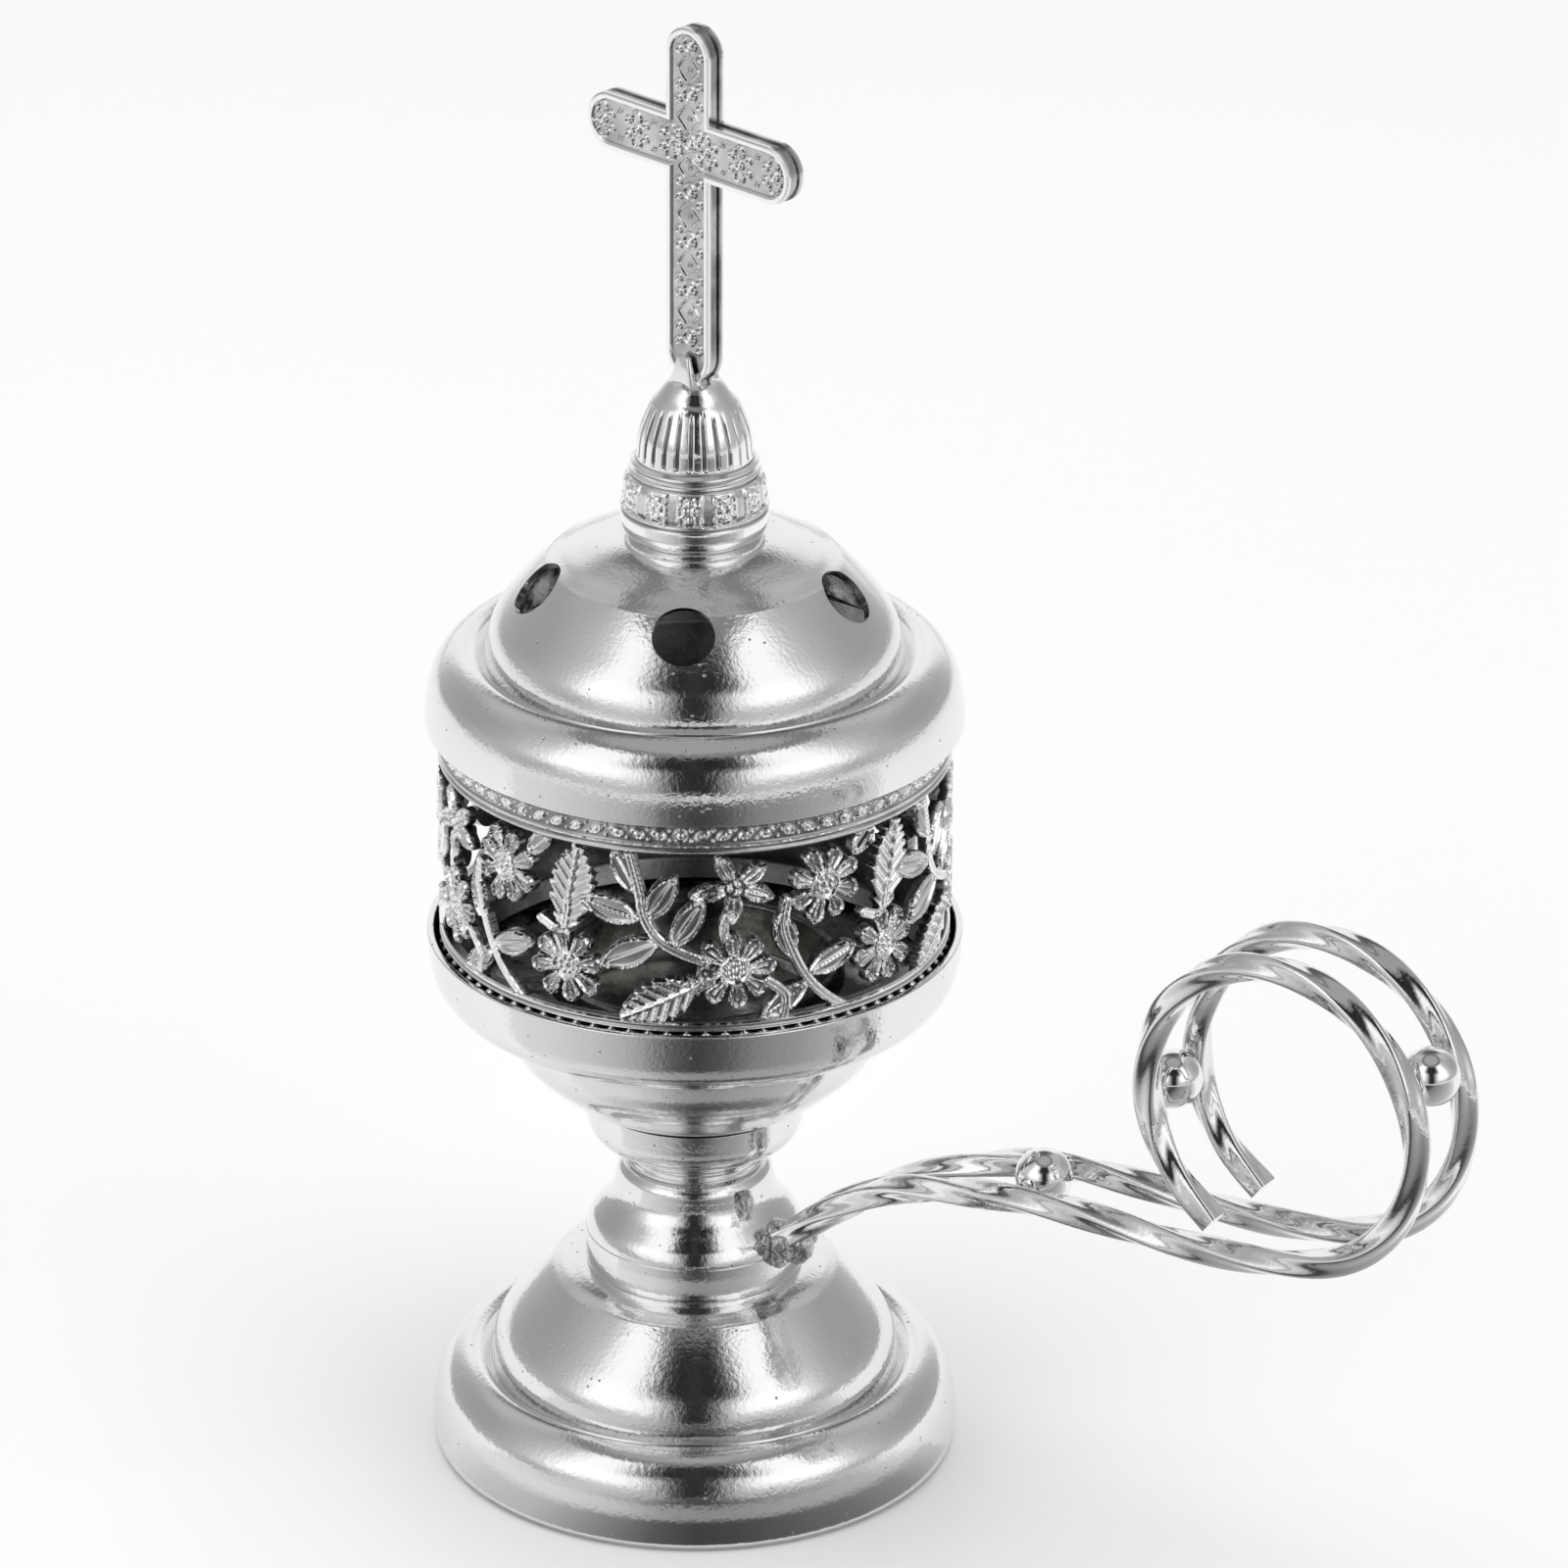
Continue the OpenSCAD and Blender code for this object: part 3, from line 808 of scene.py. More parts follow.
def along_across(x, z, start, direction):
    """Coordinates along and across a direction, from a starting point."""
    u = (x - start[0]) * direction[0] + (z - start[1]) * direction[1]
    v = -(x - start[0]) * direction[1] + (z - start[1]) * direction[0]
    return u, v


def gap_to_line(x, z, a, b):
    """Distance from the straight line between two points."""
    ab = np.array(b, float) - np.array(a, float)
    t = np.clip(((x - a[0]) * ab[0] + (z - a[1]) * ab[1]) / (ab @ ab), 0, 1)
    return np.hypot(x - a[0] - t * ab[0], z - a[1] - t * ab[1])


def lens_distance(x, z, tip_a, tip_b, width):
    """Distance inside a leaf drawn between two tips, with the coordinates along and across it."""
    a, b = np.array(tip_a, float), np.array(tip_b, float)
    length = np.linalg.norm(b - a)
    t = (b - a) / length
    u, v = along_across(x, z, a, t)
    r = (length**2 / 4 + width**2 / 4) / width
    inset = r - width / 2
    d = r - np.hypot(u - length / 2, np.abs(v) + inset)
    return d, u, v, length


def leaf(x, z, base, tip, width):
    """A plain leaf: raised edge, hollow blade and raised rib."""
    d, u, v, length = lens_distance(x, z, base, tip, width)
    body = np.clip(d / 0.3, 0, 1) * 0.16
    rib = ridge(np.abs(v), 0, 0.2, 0.5) * (u > length * 0.1) * (u < length * 0.84) * (d > 0.2)
    return d, body + ridge(d, 0.3, 0.2, 0.56) + rib


def serrated_leaf(x, z, base, tip, width):
    """A leaf with a toothed edge and slanting veins."""
    d, u, v, _ = lens_distance(x, z, base, tip, width)
    phase = (u - np.abs(v) * 0.9) / 1.55
    teeth = np.abs((phase % 1) - 0.5) * 2
    d = d + (teeth - 0.5) * 0.75 * np.clip(u / 1.5, 0, 1)
    body = np.clip(d / 0.4, 0, 1) * 0.28
    veins = 0.3 * np.cos(phase * 2 * np.pi) * np.clip(d / 0.4, 0, 1) * np.clip(np.abs(v) / 0.5, 0, 1)
    return d, body + np.maximum(veins, 0) + ridge(np.abs(v), 0, 0.24, 0.45) * (d > 0) + ridge(d, 0.2, 0.2, 0.22)


def petal(x, z, centre, angle, inner, outer, narrow, wide):
    """A petal, narrow at the flower's middle and round at its end, with a raised edge and rib."""
    t = np.array([math.cos(math.radians(angle)), math.sin(math.radians(angle))])
    u, v = along_across(x, z, centre, t)
    along = np.clip((u - inner) / (outer - wide - inner), 0, 1)
    half = narrow + (wide - narrow) * along
    d = half - np.hypot(u - (inner + along * (outer - wide - inner)), v)
    body = np.clip(d / 0.25, 0, 1) * 0.12
    rib = ridge(np.abs(v), 0, 0.15, 0.36) * (u > inner) * (u < outer - 1.0)
    return d, body + ridge(d, 0.26, 0.17, 0.62) + rib


def daisy(x, z, centre, petals, phase):
    """A round flower with a beaded heart."""
    field, height = np.full(x.shape, -9.0), np.zeros(x.shape)
    for k in range(petals):
        long = 5.0 + 0.2 * math.sin(k * 2.3 + centre[0])
        d, e = petal(x, z, centre, phase + k * 360 / petals, 1.7, long, 0.6, 1.22)
        height = np.where(d > 0, np.maximum(height * (field > 0), e), height)
        field = np.maximum(field, d)
    rho = np.hypot(x - centre[0], z - centre[1])
    d = 1.95 - rho
    e = 0.3 + ridge(d, 0.3, 0.22, 0.42)
    turn = np.degrees(np.arctan2(z - centre[1], x - centre[0]))
    bead = np.hypot(((turn / 360 * 8) % 1 - 0.5) * 2 * np.pi * 0.95 / 8, rho - 0.95)
    e = e + 0.32 * bead_height(bead, 0.34) * (rho > 0.5)
    e = e + 0.36 * bead_height(rho, 0.42)
    height = np.where(d > 0, e, height)
    return np.maximum(field, d), height


def star(x, z, centre, tips):
    """A flower with pointed petals, each out to its own tip, and three beads in its heart."""
    field, height = np.full(x.shape, -9.0), np.zeros(x.shape)
    for tip in tips:
        t = np.array(tip) / math.hypot(*tip)
        d, e = leaf(x, z, tuple(centre + t * 0.3), tuple(np.add(centre, tip)), 2.3)
        height = np.where(d > 0, np.maximum(height, e), height)
        field = np.maximum(field, d)
    rho = np.hypot(x - centre[0], z - centre[1])
    turn = np.degrees(np.arctan2(z - centre[1], x - centre[0]))
    bead = np.hypot(((turn / 120) % 1 - 0.5) * 2 * np.pi * 0.6 / 3, rho - 0.6)
    d = 1.3 - rho
    e = 0.15 + 0.6 * bead_height(bead, 0.5)
    return np.maximum(field, d), np.where(d > 0, e, height)


def stem(x, z, points, width=1.25):
    """A round stalk along a smooth line, with a shallow groove on top."""
    line = curve(points, 10)
    gap = np.full(x.shape, 99.0)
    for a, b in zip(line[:-1], line[1:], strict=True):
        gap = np.minimum(gap, gap_to_line(x, z, a, b))
    d = width / 2 - gap
    round_top = 0.62 * bead_height(gap, width / 2 + 0.05)
    return d, round_top - ridge(gap, 0, 0.14, 0.26)


def frieze(x, z):
    """The row of small buds and rosettes between the band's two upper lines."""
    pitch = np.radians(MOTIF_ANGLE) * BAND_R / 16
    middle = 96.45
    k = np.round((x + 2.5 * pitch) / pitch)
    cx = k * pitch - 2.5 * pitch
    place = np.mod(k, 8)
    lean = np.where(place > 4, -1.0, 1.0) * math.radians(24)
    u, v = along_across(x, z, (cx, middle), (np.cos(lean), np.sin(lean)))
    q = np.sqrt((u / 1.12) ** 2 + (v / 0.66) ** 2)
    bud = 0.40 * np.clip((1 - q) / 0.3, 0, 1) - ridge(q, 0.45, 0.16, 0.22)
    rho = np.hypot(x - cx, z - middle)
    rosette = 0.42 * np.clip((0.95 - rho) / 0.25, 0, 1) - ridge(rho, 0.55, 0.14, 0.3)
    dots = np.hypot(np.abs(x - cx) - pitch / 2, np.abs(z - middle) - 0.62)
    spots = 0.3 * bead_height(dots, 0.24)
    return np.maximum(np.where(place == 0, rosette, np.maximum(bud, 0)), spots)


def band_fields(xs, zs):
    """Where the band is solid, and how high its relief stands, over angle (as length) and height."""
    x, z = np.meshgrid(xs, zs, indexing="ij")
    inside = np.maximum(z - WINDOW[1], WINDOW[0] - z)
    height = np.where(z > FRIEZE_TOP, 0.4, 0.12) + 0 * x
    height = np.where(z < WINDOW[0] + 0.2, 0.2, height)
    motif = np.radians(MOTIF_ANGLE) * BAND_R
    for k in range(-3, 4):
        shift = k * motif
        jobs = [(daisy, c, 5.8, (c, n, phase)) for c, n, phase in DAISIES]
        jobs.append((star, STAR[0], 6.5, STAR))
        jobs += [(stem, np.mean(s, 0), 9.5, (s,)) for s in STEMS]
        jobs += [(leaf, np.mean((a, b), 0), 6.2, (a, b, w)) for a, b, w in LEAVES]
        jobs += [(serrated_leaf, np.mean((a, b), 0), 7.5, (a, b, w)) for a, b, w in SERRATED]
        for shape, (cx, cz), reach, settings in reversed(jobs):
            i0, i1 = np.searchsorted(xs, (cx + shift - reach, cx + shift + reach))
            j0, j1 = np.searchsorted(zs, (max(cz - reach, WINDOW[0] - 0.4), min(cz + reach, WINDOW[1] + 0.4)))
            if i1 <= i0:
                continue
            part = (slice(i0, i1), slice(j0, j1))
            d, e = shape(x[part] - shift, z[part], *settings)
            height[part] = np.where(d > 0, np.maximum(height[part] * (inside[part] > 0) * 0.6, e), height[part])
            inside[part] = np.maximum(inside[part], d)
    lap = x - xs[0]
    seam = SEAM - np.minimum(lap, xs[-1] + (xs[1] - xs[0]) - x)
    strip = 0.2 + ridge(seam, 0.4, 0.2, 0.4) + 0.2 * (lap < SEAM) + ridge(seam, 2.2, 0.2, 0.25)
    height = np.where(seam > 0, strip, height)
    inside = np.maximum(inside, seam)
    top = z > WINDOW[1]
    lines = ridge(z, WINDOW[1] + 0.3, 0.17, 0.5) + ridge(z, WINDOW[1] + 1.15, 0.17, 0.5)
    height = np.where(top & (z < FRIEZE_TOP), 0.12 + lines, height)
    in_frieze = top & (z > WINDOW[1] + 1.4) & (z < 98)
    height = np.where(in_frieze, np.maximum(height, 0.12 + frieze(x, z)), height)
    height += ridge(z, 97.65, 0.16, 0.35) * in_frieze
    low_border = z < WINDOW[0]
    height = np.where(low_border, 0.15 + ridge(z, 71.55, 0.18, 0.5) + ridge(z, 70.75, 0.16, 0.42), height)
    beads = 84
    pitch = 2 * np.pi * BAND_R / beads
    bead = np.hypot((x / pitch) % 1 * pitch - pitch / 2, z - 69.7)
    height += 0.55 * bead_height(bead, 0.62) * low_border
    return inside, np.clip(height, 0, RELIEF)


def build_band():
    count = int(2 * np.pi * BAND_R / GRID)
    xs = (np.arange(count) / count - 0.5) * 2 * np.pi * BAND_R - math.radians(BAND_TURN - FRONT) * BAND_R
    zs = np.concatenate(
        [np.linspace(BAND_LOW, 68.6, 12), np.arange(68.75, 98.5, GRID), np.linspace(98.6, BAND_HIGH, 10)]
    )
    inside, relief = band_fields(xs, zs)
    collar = RIM_R - SHEET - 0.15

    def face_radius(z, height):
        """The band's outer radius at each height: tucked in below, plain in the middle, a collar above."""
        skirt = np.interp(z - BAND_LOW, [0, 0.9, 2.1, 3.5, 5.2], [29.5, 30.3, 31.0, 31.3, BAND_FACE])
        tucked = collar - 0.55 * np.clip((z - 100) / 3, 0, 1)
        return np.where(z > COLLAR_LOW, tucked, np.where(z < SKIRT_TOP, skirt, BAND_FACE + height))

    def place(x, z, height, front):
        angle = x / BAND_R + math.radians(BAND_TURN)
        back_z = [BAND_LOW, BAND_LOW + 2.4, 98.0, 99.5, BAND_HIGH]
        back = np.interp(z, back_z, [29.0, BAND_BACK, BAND_BACK, 30.4, 30.5])
        r = face_radius(z, height) if front else back
        return np.stack([r * np.cos(angle), r * np.sin(angle), z], -1)

    mesh = cut_sheet("flower_band", xs, zs, inside, relief, place, round_x=True)
    add_piece("flower_band", mesh, "cover", CAST, ("pierced_band",), sharp=55)


# Finial and cross -----------------------------------------------------------------

CROSS_TURN = -9.0
CROSS_T = 2.9
FLUTES = 26
# The finial's side as radii and heights above the lid, and the middle height of its scroll squares.
FINIAL_SIDE = [
    (7.9, 0), (8.7, 0.7), (9.05, 1.9), (8.95, 3.2), (8.6, 3.9), (8.5, 5.3), (8.3, 6.8), (7.9, 8), (7.55, 8.8),
    (7.35, 9.7), (7.1, 10.3), (6.85, 12.7), (6.2, 14.7), (5.3, 16.8), (4.4, 17.9), (3.6, 19), (2.7, 19.8),
    (1, 20.4),
]
SQUARES_Z = 5.75


def scroll_square(across, up):
    """One square of curled leaves with a ball above and a ball below, as relief."""
    x, z = np.abs(across), np.abs(up)
    curl = np.hypot(x - 0.95, z - 1.15)
    relief = ridge(curl, 0.52, 0.17, 0.34)
    relief = np.maximum(relief, 0.42 * bead_height(np.hypot(across, z - 1.05), 0.5))
    petal_gap = np.hypot(x - 0.55, z - 0.1)
    relief = np.maximum(relief, 0.30 * np.clip(1 - (petal_gap / 0.55) ** 2, 0, 1))
    frame = np.maximum(x / 1.42, z / 1.85)
    return np.maximum(relief, ridge(frame, 1.0, 0.12, 0.22)) * (frame < 1.25)


def finial_radius(angle, r, z):
    """The finial's relief: a beaded base, a band of scroll squares, a double ring and a fluted bell."""
    up = z - LID_TOP
    out = r > 2
    cell = ((angle - FRONT + 19) / 30) % 1 - 0.5
    squares = scroll_square(cell * math.radians(30) * 8.7, up - SQUARES_Z)
    r = r + squares * 0.8 * (np.abs(up - SQUARES_Z) < 1.95)
    r = r + out * (ridge(up, 3.75, 0.2, 0.3) - ridge(up, 4.15, 0.14, 0.25) - ridge(up, 3.3, 0.14, 0.2))
    r = r + ridge(up, 8.45, 0.24, 0.34) + ridge(up, 9.35, 0.24, 0.34)
    r = r - ridge(up, 8.9, 0.13, 0.2) - ridge(up, 7.95, 0.16, 0.2) - ridge(up, 9.85, 0.14, 0.15)
    turn = (angle - FRONT + 4.1) / 360 * FLUTES
    groove = np.abs(((turn % 1) - 0.5) * 2)
    worn = 1 - 0.75 * np.exp(-((((angle - FRONT - 52 + 180) % 360 - 180) / 26) ** 2))
    reach = np.clip((up - 10.2) / 0.5, 0, 1) * np.clip((18.3 - up - 2.2 * (groove - 0.3)) / 1.6, 0, 1)
    return r - reach * worn * 0.55 * np.clip((groove - 0.55) / 0.45, 0, 1) ** 1.5


def build_finial():
    line = np.vstack([[(0.02, LID_TOP)], curve(np.add(FINIAL_SIDE, (0, LID_TOP)), 14), [(0.02, LID_TOP + 20.45)]])
    line = finer(line, 0.15, closed=False)
    mesh = lathe("finial_body", line, 400, closed=False, radius=finial_radius)
    co = vertices_mm(mesh)
    plain = np.interp(co[:, 2], line[:, 1], line[:, 0])
    raised = np.hypot(co[:, 0], co[:, 1]) - plain
    # These relief values set the cast material's painted shade, which is darker in the recesses of the scroll
    # squares.
    carved = np.abs(co[:, 2] - LID_TOP - SQUARES_Z) < 1.9
    stood = np.where(carved, 0.25 + raised * 1.6, 0.42 + raised * 1.6)
    give_values(mesh, "relief", stood)
    add_piece("finial_body", mesh, "cover", CAST, ("finial",), sharp=None)
    for side in (-1, 1):
        build_cheek(side)


def build_cheek(side):
    """One cheek of the fork that clasps the cross's foot: a small wedge with soft edges."""
    bpy.ops.mesh.primitive_cube_add(size=1)
    cheek = bpy.context.object
    cheek.name = cheek.data.name = "finial_cheek_" + ("front" if side < 0 else "back")
    cheek.data.transform(Matrix.Diagonal((4.4, 1.3, 4.4, 1)) @ Matrix.Translation((0, 0, 0.5)))
    for v in cheek.data.vertices:
        if v.co.z > 1:
            v.co.x *= 0.42
            v.co.y = v.co.y * 0.55 - side * 0.25
    place = Matrix.Translation((0, side * (CROSS_T / 2 + 0.55), LID_TOP + 18.7))
    cheek.data.transform(Matrix.Scale(MM, 4) @ Matrix.Rotation(math.radians(CROSS_TURN), 4, "Z") @ place)
    bevel = cheek.modifiers.new("bevel", "BEVEL")
    bevel.width = 0.45 * MM
    bevel.segments = 4
    bake_modifiers(cheek)
    cheek.data.polygons.foreach_set("use_smooth", np.ones(len(cheek.data.polygons), bool))
    cheek.data.materials.append(CAST_PLAIN)
    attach(cheek, "cover")


def build_cross():
    """A Latin cross with round ends: a raised border round a field of rings and scrolls."""
    half = 3.6
    span = 16.9
    height = CROSS_HIGH - CROSS_LOW
    arm_z = height - 15
    step = 0.12
    xs = np.arange(-span - step, span + 2 * step, step)
    zs = np.arange(-step, height + 2 * step, step)
    x, z = np.meshgrid(xs, zs, indexing="ij")
    upright = half - gap_to_line(x, z, (0, half), (0, height - half))
    arms = half - gap_to_line(x, z, (-span + half, arm_z), (span - half, arm_z))
    inside = np.maximum(upright, arms)
    border = 0.34 * np.clip((0.95 - inside) / 0.2, 0, 1) - ridge(inside, 0.06, 0.12, 0.14)
    field = cross_ornament(x, z, arm_z, height, half) * np.clip((inside - 1.0) / 0.15, 0, 1)
    relief = 0.2 + np.where(inside < 0.95, border, field)

    plate = 0.95
    for name, side in (("cross_front", -1), ("cross_back", 1)):

        def place(px, pz, e, outer, side=side):
            depth = np.where(outer, CROSS_T / 2 - 0.62 + e, CROSS_T / 2 - plate)
            return np.stack([px * -side, side * depth, pz + CROSS_LOW], -1)

        add_cross_layer(name, cut_sheet(name, xs, zs, inside, relief, place, round_x=False))

    def place_core(px, pz, e, outer):
        depth = CROSS_T / 2 - plate + 0.05
        return np.stack([px, np.where(outer, -depth, depth) + 0 * px, pz + CROSS_LOW], -1)

    # The core has relief 0, so the cast material paints it with its fullest shade between the two plates.
    core = cut_sheet("cross_core", xs, zs, inside - 0.22, 0 * relief, place_core, round_x=False)
    add_cross_layer("cross_core", core)


def add_cross_layer(name, mesh):
    """One layer of the cross: a plate of relief on each side, and a core set in a little between them."""
    mesh.transform(Matrix.Rotation(math.radians(CROSS_TURN), 4, "Z"))
    add_piece(name, mesh, "cover", CAST, ("cross",), sharp=50)


def cross_ornament(x, z, arm_z, height, half):
    """Beaded rings and chevrons up the upright, and a beaded ring between two scrolls along the arms."""
    relief = np.zeros(x.shape)

    def ring(cx, cz, r, bead=0.0):
        rho = np.hypot(x - cx, z - cz)
        return ridge(rho, r, 0.17, 0.32) + 0.36 * bead_height(rho, max(bead, 0.01)) * (bead > 0)

    def add(shape):
        np.maximum(relief, shape, out=relief)

    repeat = 6.15
    for k in range(-5, 3):
        place = arm_z + 0.6 + k * repeat
        if not half - 1 < place < height - half + 2:
            continue
        add(ring(0.35, place, 0.95, 0.5))
        rise = np.abs(z - place - repeat / 2)
        add(ridge(x + 1.7 - 0.95 * rise, 0, 0.17, 0.34) * (rise < 1.5) * (x < 0.4))
        add(ridge(x - 1.9 + 0.95 * rise, 0, 0.15, 0.28) * (rise < 1.3) * (x > 0.4))
        for side, up in ((-1.55, 0.95), (-1.55, -0.95), (1.95, 1.3), (1.95, -1.3)):
            add(ring(side, place + up, 0.42))
        add(ring(0.3, place + repeat / 2, 0.01, 0.34))
    pitch = 5.74
    for k in range(-3, 3):
        middle = (k + 0.5) * pitch
        add(ring(middle, arm_z, 0.62, 0.34))
        for up in (-1, 1):
            hook = np.hypot(x - middle, z - arm_z - up * 1.5)
            add(ridge(hook, 0.75, 0.16, 0.32) * ((z - arm_z) * up > 0.9))
            add(ring(middle - 1.45, arm_z + up * 0.85, 0.4))
            add(ring(middle + 1.45, arm_z + up * 0.85, 0.4))
            add(ring(middle + pitch / 2, arm_z + up * 1.7, 0.01, 0.32))
    return relief


# Handle ----------------------------------------------------------------------------

FINGER = (89.0, 72.0)
FINGER_R = 18.7
WIRE_SIDE = 2.985
WIRE_PITCH = 68.0
WIRE_HOLLOW = 0.06
APART_START = 1.65
APART_END = 5.4
RUN = [
    (14.6, 31.8), (22, 37.8), (31.5, 43.8), (42.5, 48), (53, 50.2), (64, 50.9), (75, 51.1), (85, 52),
]
PART = (26.0, 50.0)


def on_ring(angle):
    a = math.radians(angle)
    return FINGER[0] + FINGER_R * math.cos(a), FINGER[1] + FINGER_R * math.sin(a)


def wire_line(side):
    """The middle line of one wire, out from the knop and round the finger ring."""
    flat = curve(RUN + [on_ring(a) for a in np.arange(-72, 242.1, 22.43)], 16)
    t = np.clip((flat[:, 0] - PART[0]) / (PART[1] - PART[0]), 0, 1)
    t[len(RUN) * 16 :] = 1
    apart = APART_START + (APART_END - APART_START) * t * t * (3 - 2 * t)
    return np.stack([flat[:, 0], side * apart, flat[:, 1]], 1)


def wire_section(points=48):
    """A square with rounded corners and faintly hollow sides, as angles and radii."""
    a = np.arange(points) * 2 * np.pi / points
    power = 5.5
    r = WIRE_SIDE / 2 / (np.abs(np.cos(a)) ** power + np.abs(np.sin(a)) ** power) ** (1 / power)
    return a, r - WIRE_HOLLOW * np.cos(2 * a) ** 4


def build_wire(name, side):
    line = wire_line(side)
    step = np.linalg.norm(np.diff(line, axis=0), axis=1)
    travelled = np.concatenate([[0], np.cumsum(step)])
    ends = np.vstack([line[:1], line, line[-1:]])
    t = ends[2:] - ends[:-2]
    t /= np.linalg.norm(t, axis=1)[:, None]
    b = np.array([0, 1, 0]) - t[:, 1:2] * t
    b /= np.linalg.norm(b, axis=1)[:, None]
    n = np.cross(b, t)
    a, r = wire_section()
    turn = travelled[:, None] / WIRE_PITCH * 2 * np.pi + a[None, :]
    co = line[:, None] + r[None, :, None] * (
        np.cos(turn)[..., None] * n[:, None] + np.sin(turn)[..., None] * b[:, None]
    )
    quads = ring_quads(len(line), len(a), False)
    k, last = len(a), (len(line) - 1) * len(a)
    caps = [np.arange(k)[::-1][None, :], (last + np.arange(k))[None, :]]
    mesh = make_mesh(name, co.reshape(-1, 3) * MM, [quads, *caps])
    add_piece(name, mesh, "stand", TWISTED, (name.replace("_twist", ""),), sharp=60)


def build_ball(node):
    """A ball with a small collar of solder where each wire touches it."""
    angle = np.linspace(0.02, np.pi - 0.02, 70)
    r, y = BALL_R * np.sin(angle), BALL_R * np.cos(angle)
    collar = 1.1 * np.exp(-(((np.abs(y) - BALL_R) / 0.55) ** 2))
    outline = np.stack([np.maximum(r, collar * (r > 0.2)), y], 1)[::-1]
    mesh = lathe(node + "_bead", outline, 72, closed=False)
    mesh.transform(Matrix.Rotation(math.radians(90), 4, "X"))
    centre = (low(node) + high(node)) / 2
    mesh.transform(Matrix.Translation(Vector(centre) * MM))
    add_piece(node + "_bead", mesh, "stand", BALL, (node,), sharp=None)


# Blobs of solder at the handle's root: their middles and radii.
BLOBS = [
    ((14.6, -0.4, 31.2), 2.3), ((15.2, -2.3, 31.9), 1.5), ((16.4, -2.0, 30.7), 1.3), ((14.3, -1.8, 29.3), 1.4),
    ((15.6, 0.2, 29.6), 1.7), ((17.0, -0.6, 31.0), 1.5), ((15.6, 1.8, 31.6), 1.7), ((16.0, -0.8, 33.4), 1.3),
    ((17.8, -1.9, 32.4), 0.9), ((13.6, -1.4, 33.0), 1.2),
]


def build_solder():
    """The lump of solder at the handle's root: dented blobs melted together."""
    melt = bmesh.new()
    for place, r in BLOBS:
        centre = Vector(place) * MM
        at = Matrix.Translation(centre)
        made = bmesh.ops.create_icosphere(melt, subdivisions=4, radius=r * MM, matrix=at)
        for vert in made["verts"]:
            dent = 0.22 * noise.noise(vert.co * 1100) + 0.10 * noise.noise(vert.co * 2600)
            vert.co = centre + (vert.co - centre) * (1 + dent)
    mesh = bpy.data.meshes.new("solder_lump")
    melt.to_mesh(mesh)
    melt.free()
    lump = add_piece("solder_lump", mesh, "stand", SOLDER, ("handle_solder",), sharp=None)
    fuse = lump.modifiers.new("fuse", "REMESH")
    fuse.mode = "VOXEL"
    fuse.voxel_size = 0.00014
    fuse.use_smooth_shade = True
    bake_modifiers(lump)


# Small CAD nodes that keep their shape -----------------------------------------------


def finish_hardware():
    for name in ("foot_washer", "foot_nut", "tie_bolt", "bowl_washer", "lid_washer", "finial_screw"):
        node = frame["nodes"][name]
        node.data.materials.clear()
        node.data.materials.append(HARDWARE)


# Studio --------------------------------------------------------------------------------


def build_floor():
    bpy.ops.mesh.primitive_circle_add(vertices=96, radius=4.0, fill_type="NGON")
    floor = bpy.context.object
    floor.name = "studio_floor"
    m = Nodes("studio_floor")
    cloud = m.noise(3.0)
    colour = m.mix(cloud, (0.90, 0.90, 0.90), (0.92, 0.92, 0.92))
    rough = m.ramp(cloud, 0.3, 0.7, 0.75, 0.85)
    floor.data.materials.append(m.finish(colour, rough, metallic=0.0))


# The studio's brightness as the metal reflects it, against the angle away from the front: dark in front, bright
# on each side of that, dimmer walls, and bright behind. The values were set one by one.
LOW_SKY = [
    (0, 0.03), (5, 0.03), (10, 0.16), (20, 0.62), (32, 1.12), (60, 1.2), (72, 0.80), (90, 0.47), (125, 0.38),
    (146, 0.5), (160, 0.95),
]
HIGH_SKY = [
    (0, 0.04), (18, 0.05), (30, 0.5), (42, 1.1), (60, 1.1), (76, 0.62), (100, 0.45), (140, 0.5), (158, 0.2),
    (170, 0.12),
]
HORIZON = [
    (0, 0.03), (5, 0.03), (11, 0.22), (22, 0.50), (50, 0.58), (70, 0.46), (90, 0.50), (125, 0.42), (146, 0.5),
    (160, 0.95),
]
OVERHEAD = 0.38
BOX_TOP = 0.22


